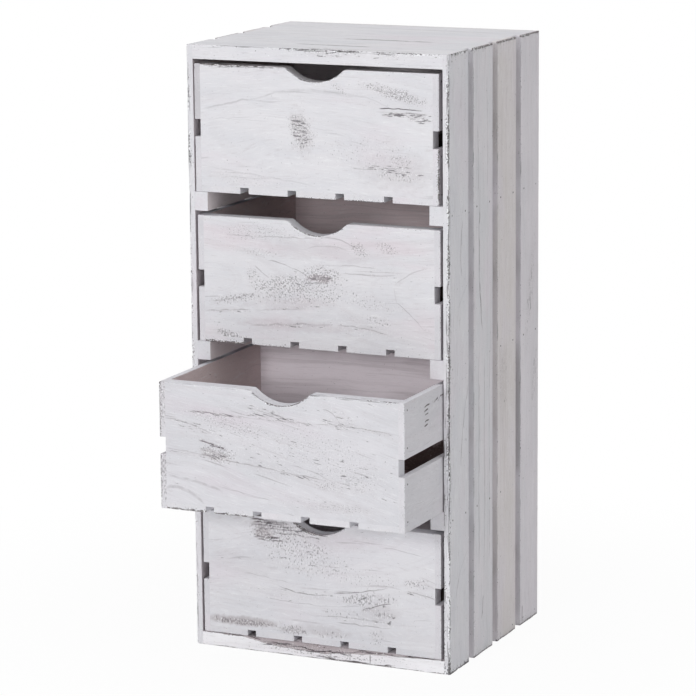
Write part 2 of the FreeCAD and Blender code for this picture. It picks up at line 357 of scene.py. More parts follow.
# %% Noise along a board
SEED_STEPS = (7.31, 3.17, 5.93)
RUB_SEEN = 0.02
SWELLS_PER_METRE = 28
CHIPS_PER_METRE = 120
CHIP_SEED = 50
CHIP_FROM = 0.28
SWELL_MIDDLE = 0.55
SWELL_LEAST = 0.1
SWELL_MOST = 1.6


def noise_at(places, per_metre, seed):
    """Smooth noise from -1 to 1 at each place, with about per_metre swings in a metre."""
    offset = Vector([seed * step for step in SEED_STEPS])
    return np.array([noise.noise(Vector(place) * per_metre + offset) for place in places])


def edge_radius(points, rub, seed):
    """The rounding radius at each point: a slow swell, and now and then a chip."""
    near = rub > RUB_SEEN
    swell, chip = np.zeros(len(points)), np.zeros(len(points))
    swell[near] = noise_at(points[near], SWELLS_PER_METRE, seed)
    chip[near] = np.clip(noise_at(points[near], CHIPS_PER_METRE, seed + CHIP_SEED) - CHIP_FROM, 0, 1)
    swell = np.clip(SWELL_MIDDLE + swell, SWELL_LEAST, SWELL_MOST)
    return SMALLEST_RADIUS + rub * WORN_RADIUS * swell + rub * CHIP_RADIUS * chip * CHIP_GAIN


print("radius of an unworn edge", SMALLEST_RADIUS / MM, "mm, of a worn one about",
      round(WORN_RADIUS * SWELL_MIDDLE / MM, 2), "mm")

# %% [markdown]
# ## From lattice to board
# Rounding works by shrinking the box by the radius, finding the nearest point of the shrunken box, and
# stepping out from it by the radius. On a face that lands back on the face, and near an edge it lands
# on an arc. Anything that isn't a plain box, such as a hand cut-out, is a bend of the finished
# lattice: a function that moves the points, called last.
#
# Rounded edges are shaded smooth. An unrubbed edge turns by nearly 90 degrees in one step, so it is
# marked sharp, and two boards that meet flush show no shaded line along their joint.

# %% Build one worn board
SHARP_FROM = math.radians(50)
LARGEST_SHARE = 0.48
ON_A_SIDE = 0.01 * MM
ALMOST_NOTHING = 1e-12
STEPS = (4.0, 4.0, 4.0)


def rounded(points, size, radius):
    """Points pulled onto rounded edges of that radius."""
    reach = np.minimum(radius[:, None], size * LARGEST_SHARE)
    core = np.clip(points, reach, size - reach)
    out = points - core
    length = np.linalg.norm(out, axis=1)
    depth = np.abs(out).max(axis=1)
    scale = np.where(length > 0, depth / np.maximum(length, ALMOST_NOTHING), 1.0)
    return core + out * scale[:, None]


def on_sides(points, size, sides):
    """1 for points on any of the named sides of the box, 0 elsewhere."""
    mask = np.zeros(len(points))
    for side in sides:
        mask[side_distance(points, size, side) < ON_A_SIDE] = 1.0
    return mask


def off_edges(points, size):
    """1 for points inside one side of the box, 0 for points on its edges, which two sides share."""
    touched = sum(on_sides(points, size, (axis + end,)) for axis in AXES for end in "-+")
    return (touched < 2).astype(float)


def board_arrays(low, high, grain, seed, wear=None, inside=(), steps=STEPS, bend=None):
    """One board between two corners: places, quads and the values stored on its points.

    grain names the axes along, across and through the grain, inside the sides that face inwards, and
    steps the widest gaps of the lattice in millimetres.
    """
    low, high = np.array(low), np.array(high)
    size = high - low
    points, quads = box_lattice(size, [step * MM for step in steps])
    rub = rub_of(points, size, wear or {})
    end = on_sides(points, size, (grain[0] + "-", grain[0] + "+"))
    inner = on_sides(points, size, inside) * off_edges(points, size)
    places = rounded(points, size, edge_radius(points + low, rub, seed))
    if bend:
        places, rub = bend(places, size, rub)
    centred = places - size / 2
    grain_places = centred[:, [AXES.index(axis) for axis in grain]]
    values = {"grain": grain_places, "rub": rub, "end": end, "inner": inner,
              "seed": np.full(len(places), float(seed))}
    return places + low, quads, values


print("a board can be built, with edges sharp from", round(math.degrees(SHARP_FROM)), "degrees")

# %% [markdown]
# ## From board to piece
# A piece is a mesh object that stands for one node of the frame: it rides with the node's body, takes
# its material and hides the node. from_pydata wants plain lists, and an attribute is filled in one go
# by foreach_set, which is far quicker than a loop over its points.

# %% Make a piece
made_pieces = []


def make_piece(kind, node, places, faces, values, material):
    """A mesh object that stands for a node, with values stored on its points."""
    name = f"{kind}_{node}"
    mesh = bpy.data.meshes.new(name)
    mesh.from_pydata(places, [], faces)
    for label, numbers in values.items():
        numbers = np.array(numbers, dtype=np.float32)
        form, key = ("FLOAT_VECTOR", "vector") if numbers.ndim == 2 else ("FLOAT", "value")
        mesh.attributes.new(label, form, "POINT").data.foreach_set(key, numbers.ravel())
    mesh.shade_smooth()
    if kind == "wood":
        mesh.set_sharp_from_angle(angle=SHARP_FROM)
    mesh.materials.append(material)
    piece = bpy.data.objects.new(name, mesh)
    scene.collection.objects.link(piece)
    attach(piece, node_body[node])
    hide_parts(node)
    made_pieces.append(name)


def join_boards(node, boards, material):
    """One or more boards as a single piece of wood that stands for the node."""
    starts = np.cumsum([0] + [len(board[0]) for board in boards])
    places = np.concatenate([board[0] for board in boards])
    quads = np.concatenate([board[1] + start for board, start in zip(boards, starts)])
    values = {label: np.concatenate([board[2][label] for board in boards]) for label in boards[0][2]}
    make_piece("wood", node, places.tolist(), quads.tolist(), values, material)


def dress(node, material, *board):
    """One board in the node's own box: grain, seed, wear and the rest as board_arrays takes them."""
    join_boards(node, [board_arrays(*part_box(node), *board)], material)


print("pieces can be made of boards")

# %% [markdown]
# ## Shader groups
# Every surface of the chest shares the same few effects: the tree's growth lines, dark dashes where
# the brush skipped the pores, patches where more of them show, and edges rubbed down to grey wood.
# Each effect is one node group with named sockets, so that a board's material only sets values. The
# groups read the attributes stored on the mesh, so the grain of a board runs through its faces and
# round its edges, as in real wood, and stays with the board when a drawer slides.
#
# Nearly all of them read noise that is drawn out along the grain. The table gives each one's swings
# in a metre along, across and through the grain, then its detail and its roughness. Only the ring
# noise counts in rings across the grain, and swings once a ring.

# %% Drawn-out noise and empty groups
NOISES = {
    "wander": ((6, 14, 14), 2.0, 0.5),
    "ring": ((4, 1, 90), 3.0, 0.6),
    "fibre": ((50, 620, 620), 3.0, 0.7),
    "hair": ((12, 380, 380), 2.0, 0.5),
    "dash": ((90, 640, 640), 2.0, 0.6),
    "speck": ((480, 680, 680), 1.0, 0.5),
    "coarse": ((40, 110, 110), 4.0, 0.65),
    "fine": ((400, 640, 640), 2.0, 0.6),
    "thread": ((26, 620, 620), 2.0, 0.6),
    "cloud": ((9, 26, 26), 4.0, 0.65),
    "tint": ((6, 26, 26), 2.0, 0.5),
    "cluster": ((14, 55, 55), 2.0, 0.6),
}
NOISE_MIDDLE = 0.5
ORIGIN = (0.0, 0.0, 0.0)


def drawn_out_noise(place, seed, kind):
    """One of the noises, read at a place of three sockets: along, across and through the grain."""
    swings, detail, roughness = NOISES[kind]
    scaled = [times(socket, swing) for socket, swing in zip(place, swings)]
    vector = add(seed.id_data, "CombineXYZ", dict(enumerate(scaled))).outputs[0]
    node = add(seed.id_data, "TexNoise", {"Vector": vector, "W": seed, "Scale": 1.0, "Detail": detail,
                                          "Roughness": roughness}, noise_dimensions="4D")
    return node.outputs["Fac"]


def new_group(name, inputs, outputs):
    """An empty group with its input sockets and its output node.

    inputs maps names to first values: three numbers make a vector and four a colour. An output
    called Colour is a colour, and every other one is a number.
    """
    tree = bpy.data.node_groups.new(name, "ShaderNodeTree")
    for label, value in inputs.items():
        kind = "Float" if isinstance(value, float) else {3: "Vector", 4: "Color"}[len(value)]
        socket = tree.interface.new_socket(label, in_out="INPUT", socket_type="NodeSocket" + kind)
        socket.default_value = value
    for label in outputs:
        kind = "Color" if label == "Colour" else "Float"
        tree.interface.new_socket(label, in_out="OUTPUT", socket_type="NodeSocket" + kind)
    return tree, tree.nodes.new("NodeGroupInput").outputs, tree.nodes.new("NodeGroupOutput")


def give_out(out, results):
    """Joins a group's results to its output node and prints how large the group is."""
    set_inputs(out, results)
    print(out.id_data.name, len(out.id_data.nodes), "nodes")


def place_group(tree, group, inputs):
    """The outputs of a group placed in a tree with its own values."""
    return add(tree, "Group", inputs, node_tree=group).outputs


print(len(NOISES), "noises")

# %% [markdown]
# ## Growth lines
# A plank cuts across the tree's yearly rings, which are long cones. Where the cut runs along a cone's
# side the lines are nearly straight, and where it passes over the top they close into arches. The
# group measures how far each point is from a heart, with the distance along the grain shrunk by a
# taper: that one number draws straight lines, arches or closed eyes. A plank can show two hearts, one
# from each end, so the group takes two and blends them. Noise makes the lines wander.
#
# The brush doesn't follow the rings exactly, so the group also gives a stroke place: mostly the plain
# place across the board, leaned over by a slope, with a little of the ring distance in it.

# %% Group: growth distance
FAR_AWAY = (0.0, 9.0, 0.0)
HEARTS_BLEND = 0.02
WANDER_GAIN = 4.0
RINGS_IN_STROKE = 0.25
GROWTH_INPUTS = {"Grain": ORIGIN, "Seed": 0.0, "Heart": (0.0, 0.2, 0.0), "Second Heart": FAR_AWAY,
                 "Taper": 0.15, "Wander": 0.006, "Lean": 0.0}

growth, given, out = new_group("growth_distance", GROWTH_INPUTS,
                               ("Distance", "Stroke", "Along", "Across", "Through"))
axis = split(given["Grain"])
squash = add(growth, "CombineXYZ", {"X": given["Taper"], "Y": 1.0, "Z": 1.0}).outputs[0]
distances = []
for name in ("Heart", "Second Heart"):
    squashed = maths("MULTIPLY", apart(given["Grain"], given[name]), squash, kind="VectorMath")
    distances.append(length_of(squashed))
nearest = maths("SMOOTH_MIN", *distances, HEARTS_BLEND)
swing = minus(drawn_out_noise(axis, given["Seed"], "wander"), NOISE_MIDDLE)
wander = times(swing, times(given["Wander"], WANDER_GAIN))
distance = plus(nearest, wander)
leaned = minus(axis[1], times(axis[0], given["Lean"]))
stroke = plus(times(leaned, 1.0 - RINGS_IN_STROKE), times(distance, RINGS_IN_STROKE))
give_out(out, {"Distance": distance, "Stroke": plus(stroke, wander),
               "Along": axis[0], "Across": axis[1], "Through": axis[2]})

# %% [markdown]
# ## Bands, fibres, hairs, dashes and specks
# Several textures are read along those lines. Bands are the darker late wood under the wash: soft,
# unevenly spaced and very faint. Fibres give the wash its brushed tooth, and hairs are long thin
# lines. Dashes are pores that the brush missed: short dark strokes, only where a cover value lets
# them through. Specks are the same on a rougher spot, broken up into dots, and flecks are the light
# grains of paint that stand up among them. A pair of numbers such as HAIR_SHOWS says where a noise
# starts to show and where it shows in full.

# %% Group: growth bands
RING_RISES = (0.50, 0.62)
RING_FALLS = (0.78, 0.62)
HAIR_SHOWS = (0.64, 0.74)
STROKE_INPUTS = {"Stroke": 0.0, "Along": 0.0, "Through": 0.0, "Seed": 0.0}

bands, given, out = new_group("growth_bands", STROKE_INPUTS | {"Distance": 0.0, "Rings": 150.0},
                              ("Band", "Fibre", "Hair"))
by_ring = (given["Along"], times(given["Distance"], given["Rings"]), given["Through"])
by_stroke = (given["Along"], given["Stroke"], given["Through"])
ring = drawn_out_noise(by_ring, given["Seed"], "ring")
fibre, hair = [drawn_out_noise(by_stroke, given["Seed"], kind) for kind in ("fibre", "hair")]
band = times(ramp(ring, *RING_RISES), ramp(ring, *RING_FALLS))
give_out(out, {"Band": band, "Fibre": fibre, "Hair": ramp(hair, *HAIR_SHOWS)})

# %% Group: dry brush marks
DASH_LIMIT = 0.71
DASHES_LOWER_IT_BY = 0.19
DASH_BORDER = 0.08
SPECK_LIMIT = 0.70
SPECKS_LOWER_IT_BY = 0.22
SPECK_BORDER = 0.10
FLECK_SHOWS = (0.43, 0.31)
FLECKS_ANYWHERE = 0.08
FLECKS_AMONG_MARKS = 0.55

brush, given, out = new_group("dry_brush_marks", STROKE_INPUTS | {"Dashes": 0.3, "Specks": 0.0},
                              ("Dash", "Speck", "Fleck"))
by_stroke = (given["Along"], given["Stroke"], given["Through"])
dash, speck = [drawn_out_noise(by_stroke, given["Seed"], kind) for kind in ("dash", "speck")]
past_dash = minus(dash, minus(DASH_LIMIT, times(given["Dashes"], DASHES_LOWER_IT_BY)))
past_speck = minus(speck, minus(SPECK_LIMIT, times(given["Specks"], SPECKS_LOWER_IT_BY)))
cover = greater(given["Dashes"], given["Specks"])
fleck_share = plus(FLECKS_ANYWHERE, times(cover, FLECKS_AMONG_MARKS))
give_out(out, {"Dash": ramp(past_dash, 0.0, DASH_BORDER), "Speck": ramp(past_speck, 0.0, SPECK_BORDER),
               "Fleck": times(ramp(speck, *FLECK_SHOWS), fleck_share)})

# %% [markdown]
# ## Patches, drawn lines and rubbed edges
# A patch is an ellipse with a ragged soft border, given by its middle, its half sizes and its tilt on
# the board's face. Most patches are worn places, and a few are painted shade. A drawn line is one long
# grain line or crack: a shallow curve with a width, a slope and a bend. Several of each can be placed
# in one material. The edge group compares the rub strength stored on the mesh with noise: where rub
# wins, the wash is gone, and a thin dark line of dirt follows the ragged border of what is left.

# %% Group: patch of wear and shade
RAGGEDNESS = 1.1
PATCH_SHOWS = (1.2, 0.5)

patch, given, out = new_group(
    "patch_of_wear_and_shade", {"Grain": ORIGIN, "Ragged": 0.5, "Middle": ORIGIN, "Half Length": 0.02,
                   "Half Height": 0.01, "Tilt": 0.0, "Strength": 1.0}, ("Cover",))
turned = add(patch, "VectorRotate", {"Vector": apart(given["Grain"], given["Middle"]),
                                     "Angle": given["Tilt"]}, rotation_type="Z_AXIS")
axis = split(turned.outputs[0])
parts = [divided(axis[0], given["Half Length"]), divided(axis[1], given["Half Height"])]
far = maths("SQRT", plus(*[times(part, part) for part in parts]))
far = plus(far, times(minus(given["Ragged"], NOISE_MIDDLE), RAGGEDNESS))
give_out(out, {"Cover": times(ramp(far, *PATCH_SHOWS), given["Strength"])})

# %% Group: drawn line
WAVER_REACH = 6 * MM
LINE_SHOWS = (1.0, 0.2)
LINE_ENDS = (1.0, 0.7)
UNBROKEN_SHOWS = (0.38, 0.54)
LEFT_WHERE_BROKEN = 0.45

drawn, given, out = new_group(
    "drawn_line", {"Grain": ORIGIN, "Waver": 0.5, "Middle": ORIGIN, "Half Length": 0.05, "Slope": 0.0,
                   "Bend": 0.0, "Width": 0.001, "Strength": 1.0}, ("Line",))
axis = split(apart(given["Grain"], given["Middle"]))
rise = plus(times(axis[0], given["Slope"]), times(axis[0], axis[0], given["Bend"]))
aside = times(minus(given["Waver"], NOISE_MIDDLE), WAVER_REACH)
off = size_of(minus(axis[1], plus(rise, aside)))
near = ramp(divided(off, given["Width"]), *LINE_SHOWS)
reach = divided(size_of(axis[0]), given["Half Length"])
unbroken = times(ramp(given["Waver"], *UNBROKEN_SHOWS), 1.0 - LEFT_WHERE_BROKEN)
line = times(near, ramp(reach, *LINE_ENDS), plus(LEFT_WHERE_BROKEN, unbroken))
give_out(out, {"Line": times(line, given["Strength"])})

# %% Group: rubbed edge
BARE_FROM = 0.97
BARE_BORDER = (-0.02, 0.04)
LEAST_PUSH = 0.25
COARSE_SHARE = 0.9
BORDER_SHOWS = (0.10, 0.03)
BORDER_BROKEN = (0.36, 0.50)
CHIPS_PER_RUB = 0.19
LEAST_PATCHY = 0.4
PATCHY_SHOWS = (0.40, 0.62)
CHIP_SHOWS = (0.70, 0.76)
STREAKS_PER_RUB = 0.15
STREAK_SHOWS = (0.64, 0.71)
STREAK_NEEDS_RUB = (0.12, 0.5)
EDGE_FLECK_SHOWS = (0.32, 0.24)
EDGE_INPUTS = {"Grain": ORIGIN, "Rub": 0.0, "Seed": 0.0, "Wear": 0.5, "Chips": 1.0, "Streaks": 0.8}

edge, given, out = new_group("rubbed_edge", EDGE_INPUTS, ("Bare", "Dirt", "Fleck"))
axis = split(given["Grain"])
coarse, fine, thread = [drawn_out_noise(axis, given["Seed"], kind)
                        for kind in ("coarse", "fine", "thread")]
push = times(given["Rub"], plus(LEAST_PUSH, given["Wear"]))
reached = plus(push, times(coarse, COARSE_SHARE))
bare = ramp(reached, *[BARE_FROM + border for border in BARE_BORDER])
from_border = size_of(minus(reached, BARE_FROM))
border = times(ramp(from_border, *BORDER_SHOWS), ramp(fine, *BORDER_BROKEN))
patchy = plus(LEAST_PATCHY, ramp(coarse, *PATCHY_SHOWS))
chipped = times(given["Rub"], CHIPS_PER_RUB, patchy, given["Chips"])
speck = ramp(plus(chipped, fine), *CHIP_SHOWS)
threaded = plus(thread, times(given["Rub"], STREAKS_PER_RUB))
streak = times(ramp(threaded, *STREAK_SHOWS), ramp(given["Rub"], *STREAK_NEEDS_RUB), given["Streaks"])
give_out(out, {"Bare": bare, "Fleck": ramp(minus(fine, chipped), *EDGE_FLECK_SHOWS),
               "Dirt": greater(streak, greater(border, speck))})

# %% [markdown]
# ## The whitewash itself
# Thin white paint on grey-brown wood: mostly an even pale grey with a breath of lilac, clouded by a
# cooler tint and a faint blush. Inner faces take a colour of their own. On most boards it is a thinner,
# browner wash. Under the top board it is a dark brown of painted shade, on the drawer floors a dark
# brown that is partly thin wash and partly painted shade, on the runners a pale colour of painted
# light, and on the backs a paler wash, a little browner on the second drawer's as painted shade. Over
# that come the bands, fibres and hairs, then stains and patches of painted shade, bare wood and drawn
# lines, and last the brush marks and the dirt of rubbed edges. The colours are layers in a table: each
# row names a colour and the shares that are multiplied to say how much of it covers what lies below.
# The group puts out a colour, a roughness and a height.
# The shader itself stays in each material.

# %% Group: whitewash
WASH_INPUTS = {
    "End": 0.0, "Inner": 0.0, "Rings": 150.0, "Band Strength": 0.08, "Fibre Strength": 1.0,
    "Hair Strength": 0.2, "Dashes": 0.1, "Dash Marks": 0.0, "Speck Marks": 0.0, "Lines": 0.0,
    "Stain And Shade": 0.0, "End Shade": 0.0, "Wash": screen(224, 223, 227), "Cloud": screen(217, 217, 222),
    "Blush": screen(222, 217, 223), "Band Colour": screen(172, 162, 165),
    "Dash Colour": screen(76, 72, 77), "Line Colour": screen(118, 108, 114),
    "Chip Colour": screen(52, 46, 48), "Stain Colour": screen(158, 148, 150),
    "Bare Colour": screen(150, 139, 139), "Thin Colour": screen(207, 199, 203)}
LIGHT_PAINT = screen(244, 245, 247)
HAZE = 0.13
CLOUD_SHOWS = (0.34, 0.68)
TINT_SHOWS = (0.50, 0.72)
INNER_COLOUR_SHOWS = (0.15, 0.45)
CLUSTER_SHOWS = (0.46, 0.72)
LIGHT_FIBRE = (0.54, 0.72)
DARK_FIBRE = (0.46, 0.28)
BLUSH_MOST = 0.8
LIGHT_FIBRE_MOST = 0.34
DARK_FIBRE_MOST = 0.22
STAIN_AND_SHADE_MOST = 0.7
BARE_MOST = 0.85
DIRT_MOST = 0.85
GRAIN_LOST_ON_ENDS = 0.3
DASH_SHARE = 0.70
SPECK_SHARE = 0.48
LEAST_ROUGH = 0.58
CLOUD_ROUGHER = 0.18
BARE_ROUGHER = 0.12
BARE_LOWER = 0.35

wash, given, out = new_group("whitewash", GROWTH_INPUTS | EDGE_INPUTS | WASH_INPUTS,
                             ("Colour", "Roughness", "Height"))
field = place_group(wash, growth, {key: given[key] for key in GROWTH_INPUTS})
stroke_inputs = {"Stroke": field["Stroke"], "Along": field["Along"], "Through": field["Through"],
                 "Seed": given["Seed"]}
figure = place_group(wash, bands, stroke_inputs | {"Distance": field["Distance"], "Rings": given["Rings"]})
by_place = (field["Along"], field["Across"], field["Through"])
by_stroke = (field["Along"], field["Stroke"], field["Through"])
cloud = drawn_out_noise(by_place, given["Seed"], "cloud")
tint, cluster = [drawn_out_noise(by_stroke, given["Seed"], kind) for kind in ("tint", "cluster")]
scattered = times(given["Dashes"], ramp(cluster, *CLUSTER_SHOWS))
marks = place_group(wash, brush, stroke_inputs | {
    "Dashes": greater(scattered, given["Dash Marks"]), "Specks": given["Speck Marks"]})
worn = place_group(wash, edge, {key: given[key] for key in EDGE_INPUTS})
side_grain = minus(1.0, times(given["End"], GRAIN_LOST_ON_ENDS))
light_fibre = ramp(figure["Fibre"], *LIGHT_FIBRE)
dark_fibre = ramp(figure["Fibre"], *DARK_FIBRE)
marked = greater(given["Dash Marks"], given["Speck Marks"])
flecks = greater(marks["Fleck"], worn["Fleck"])
mark = greater(times(marks["Dash"], DASH_SHARE), times(marks["Speck"], SPECK_SHARE))
LAYERS = [
    (given["Cloud"], ramp(cloud, *CLOUD_SHOWS)),
    (given["Blush"], ramp(tint, *TINT_SHOWS), BLUSH_MOST),
    # The colour of inner faces, which on some boards is painted shade and on the runners painted light.
    (given["Thin Colour"], given["Inner"], ramp(cloud, *INNER_COLOUR_SHOWS)),
    (given["Band Colour"], given["End"], given["End Shade"]),
    (given["Band Colour"], figure["Band"], given["Band Strength"], side_grain),
    (LIGHT_PAINT, light_fibre, given["Fibre Strength"], LIGHT_FIBRE_MOST, side_grain),
    (given["Band Colour"], dark_fibre, given["Fibre Strength"], DARK_FIBRE_MOST, side_grain),
    (given["Line Colour"], figure["Hair"], given["Hair Strength"], side_grain),
    (given["Band Colour"], marked, HAZE),
    # Stains, and a few patches of painted shade and painted shadow.
    (given["Stain Colour"], given["Stain And Shade"], STAIN_AND_SHADE_MOST),
    (given["Bare Colour"], worn["Bare"], BARE_MOST),
    (given["Line Colour"], given["Lines"]),
    (LIGHT_PAINT, flecks),
    (given["Dash Colour"], mark),
    (given["Chip Colour"], worn["Dirt"], DIRT_MOST),
]
colour = given["Wash"]
for over, *shares in LAYERS:
    colour = mixed(times(*shares), colour, over)
rough = plus(LEAST_ROUGH, times(cloud, CLOUD_ROUGHER))
rough = plus(rough, times(worn["Bare"], BARE_ROUGHER))
height = minus(times(figure["Fibre"], side_grain), times(worn["Bare"], BARE_LOWER))
give_out(out, {"Colour": colour, "Roughness": rough, "Height": height})
print(len(LAYERS), "layers of colour")

# %% [markdown]
# ## One material for each kind of board
# A material reads the attributes, places the whitewash group with its own values, adds the patches
# and lines that belong to that board, and feeds one Principled shader. Constants such as the specular
# level are set on the shader itself. The bump is shallow: the wash is a tenth of a millimetre thick.
# It holds only the fibres and the rubbed edges, not the marks. A Bump node works out everything that
# feeds its height three times, and a tree with too many values at once renders plain black.

# %% Marks placed one by one
def strongest(sockets):
    """The greatest of several values, or None if there are none."""
    so_far = None
    for socket in sockets:
        so_far = socket if so_far is None else greater(so_far, socket)
    return so_far


def place_patches(tree, grain, ragged, patches):
    """Patches, worn ones and a few of painted shade: (along, across, half length, half height, tilt in
    degrees, strength), in millimetres.
    """
    return strongest([place_group(tree, patch, {
        "Grain": grain, "Ragged": ragged, "Middle": (along * MM, across * MM, 0.0),
        "Half Length": half_length * MM, "Half Height": half_height * MM,
        "Tilt": math.radians(-tilt), "Strength": strength})["Cover"]
        for along, across, half_length, half_height, tilt, strength in patches])


def place_lines(tree, grain, waver, lines):
    """Drawn lines: (start, middle, end, width, strength), each place as (along, across) in millimetres.

    The middle place gives only the height that the line passes halfway, so two numbers describe the
    curve: its slope from end to end, and its bend away from a straight line.
    """
    placed = []
    for (start_along, start_up), middle_up, (end_along, end_up), width, strength in lines:
        half_length = (end_along - start_along) / 2
        placed.append(place_group(tree, drawn, {
            "Grain": grain, "Waver": waver,
            "Middle": ((start_along + half_length) * MM, middle_up * MM, 0.0),
            "Half Length": half_length * MM, "Slope": (end_up - start_up) / (2 * half_length),
            "Bend": ((start_up + end_up) / 2 - middle_up) / (half_length * half_length * MM),
            "Width": width * MM, "Strength": strength})["Line"])
    return strongest(placed)


print("patches and lines can be placed")

# %% Make a whitewashed material
RAGGED_NOISE = {"Scale": 110.0, "Detail": 3.0}
WAVER_NOISE = {"Scale": 48.0, "Detail": 2.0}
BUMP = {"Strength": 0.6, "Distance": 0.4 * MM}
SPECULAR = 0.28
FACES_PART = 1 * MM


def whitewashed(name, dashes=(), specks=(), lines=(), stains=(), marked_side=0, **values):
    """A material of the whitewash group with its own marks.

    marked_side is -1 or 1 to keep the marks on one face of the board, and 0 for both faces.
    """
    material = bpy.data.materials.new(name)
    tree = empty_tree(material)
    grain = add(tree, "Attribute", attribute_name="grain").outputs["Vector"]
    sockets = {label.title(): add(tree, "Attribute", attribute_name=label).outputs["Fac"]
               for label in ("rub", "seed", "end", "inner")}
    ragged = add(tree, "TexNoise", {"Vector": grain} | RAGGED_NOISE).outputs["Fac"]
    waver = add(tree, "TexNoise", {"Vector": grain} | WAVER_NOISE).outputs["Fac"]
    through = split(grain)[2]
    marked = ramp(times(through, marked_side), -FACES_PART, FACES_PART) if marked_side else None
    placed = {"Dash Marks": place_patches(tree, grain, ragged, dashes),
              "Speck Marks": place_patches(tree, grain, ragged, specks),
              "Lines": place_lines(tree, grain, waver, lines),
              "Stain And Shade": place_patches(tree, grain, ragged, stains)}
    for label, socket in placed.items():
        if socket is not None:
            sockets[label] = times(socket, marked) if marked else socket
    own_values = {key.replace("_", " "): value for key, value in values.items()}
    look = place_group(tree, wash, {"Grain": grain} | sockets | own_values)
    bump = add(tree, "Bump", {"Height": look["Height"]} | BUMP)
    shader = add(tree, "BsdfPrincipled", {
        "Base Color": look["Colour"], "Roughness": look["Roughness"], "Normal": bump.outputs[0],
        "Specular IOR Level": SPECULAR})
    add(tree, "OutputMaterial", {"Surface": shader.outputs[0]})
    print(name, len(tree.nodes), "nodes")
    return material


print("whitewash ready for any board")

# %% [markdown]
# ## The figure of each drawer front
# The four fronts are what one looks at, so each has its own figure, given one by one: where its heart
# lies, where the brush ran dry, and the few grain lines that show through the wash. The marks are
# placed in millimetres from the middle of the board, along it and up it, and the hearts in metres.

# %% The top drawer's figure
front_paint = {}
front_paint[1] = whitewashed(
    "front_1_wash", marked_side=-1, Heart=(0.02, -0.010, 0.0), Taper=0.285, Band_Strength=0.05,
    Dashes=0.0, Line_Colour=screen(88, 82, 86),
    dashes=[(-20, -3, 13, 28, 14, 1.05), (122, 25, 36, 3.4, 1, 1.4), (140, 20, 18, 6, -4, 1.1),
        (112, -46, 38, 4, -3, 1.1), (106, -41, 42, 3, 0, 0.9), (-132, 75, 26, 3, 0, 1.2),
        (-80, 75.5, 50, 2, 0, 1.0), (112, -28, 18, 6, 0, 0.55)],
    specks=[(110, 50, 48, 9, -12, 0.95), (32, 54, 14, 6, -30, 0.6), (118, -32, 20, 8, 0, 0.7),
        (112, -52, 34, 7, 0, 0.6), (-18, -3, 20, 32, 14, 0.75), (70, -25, 70, 24, 0, 0.28),
        (-95, -66, 60, 10, -4, 0.3)],
    stains=[(-19, -3, 14, 30, 14, 0.22), (112, -46, 56, 26, 0, 0.2), (100, 40, 60, 22, -10, 0.08)],
    lines=[((86, 31.5), 31.5, (120, 31.5), 0.9, 1.0), ((114, 32), 31.5, (146, 31.5), 1.0, 1.0),
        ((100, 24), 24, (122, 24.5), 0.8, 0.6), ((128, 27), 26.5, (150, 27), 0.8, 0.6),
        ((-158, 20), 32, (-47, 46), 1.6, 0.22), ((-60, 44), 49, (62, 43), 3.4, 0.16),
        ((40, 45), 42, (110, 27), 1.4, 0.12), ((-162, -52), -60, (3, -70), 1.4, 0.12),
        ((-155, 8), 9, (-60, 8), 0.9, 0.10), ((50, -44), -44, (80, -44), 1.0, 0.5),
        ((-30, 2), 2, (30, 0), 0.8, 0.10)])

# %% The second drawer's figure
front_paint[2] = whitewashed(
    "front_2_wash", marked_side=-1, Heart=(-0.20, 0.0, 0.0), Second_Heart=(0.22, -0.008, 0.0),
    Taper=0.30, Band_Strength=0.10, Dashes=0.15, Hair_Strength=0.25, Blush=screen(220, 212, 218),
    Stain_Colour=screen(180, 164, 170),
    dashes=[(3, 6, 22, 6, 0, 0.9), (-20, 4, 60, 11, 3, 0.7), (-122, -44, 36, 1.6, 4, 0.8),
        (-125, -80, 20, 4, -20, 1.0), (70, -56, 34, 3, -6, 0.8), (-40, -56, 60, 3.5, 3, 0.7),
        (-20, -30, 60, 5, 8, 0.55), (90, 18, 40, 6, -3, 0.4), (60, -50, 60, 16, -6, 0.35)],
    specks=[(-120, -75, 28, 6, -14, 1.0), (5, 7, 22, 7, 0, 1.25), (6, 9, 34, 16, -4, 0.85),
        (-42, -6, 52, 15, 4, 0.9), (-112, -26, 44, 7, 10, 0.85), (58, 46, 16, 9, -30, 0.85),
        (94, 50, 18, 8, -10, 0.75), (-88, 0, 10, 22, 20, 0.7), (-20, -16, 80, 14, 4, 0.7),
        (70, -20, 44, 10, -8, 0.5), (-85, 60, 60, 12, 0, 0.55), (-80, 34, 34, 6, 0, 0.5),
        (84, -42, 22, 9, -10, 0.6)],
    lines=[((-70, 24), 20, (-12, 6), 0.9, 0.55), ((-86, -18), -8, (-66, 2), 1.2, 0.45),
        ((-88, 17), 9, (-66, 2), 1.2, 0.40), ((-152, -33), -27, (-86, -17), 1.2, 0.35),
        ((-130, 54), 55, (4, 57), 1.3, 0.32), ((0, 58), 57, (58, 45), 1.4, 0.35),
        ((-20, 42), 48, (50, 42), 1.2, 0.22), ((104, 3), 20, (151, 29), 1.3, 0.25),
        ((104, 2), -10, (108, -18), 3.0, 0.20), ((106, -16), -31, (146, -50), 1.0, 0.38),
        ((-98, -61), -55, (25, -51), 1.6, 0.30), ((25, -52), -53, (98, -59), 1.0, 0.42),
        ((4, 24), 25, (84, 24), 1.0, 0.30), ((30, 15), 15, (110, 17), 0.9, 0.28),
        ((-158, -46), -42, (-92, -40), 1.0, 0.50), ((-90, -40), -37, (-20, -34), 1.4, 0.22)],
    stains=[(-19, 42, 60, 13, 0, 0.24), (30, 38, 40, 8, -8, 0.2), (-37, -29, 60, 9, 4, 0.2),
        (-30, -56, 90, 8, 0, 0.28), (3, 6, 22, 6, 0, 0.5)])

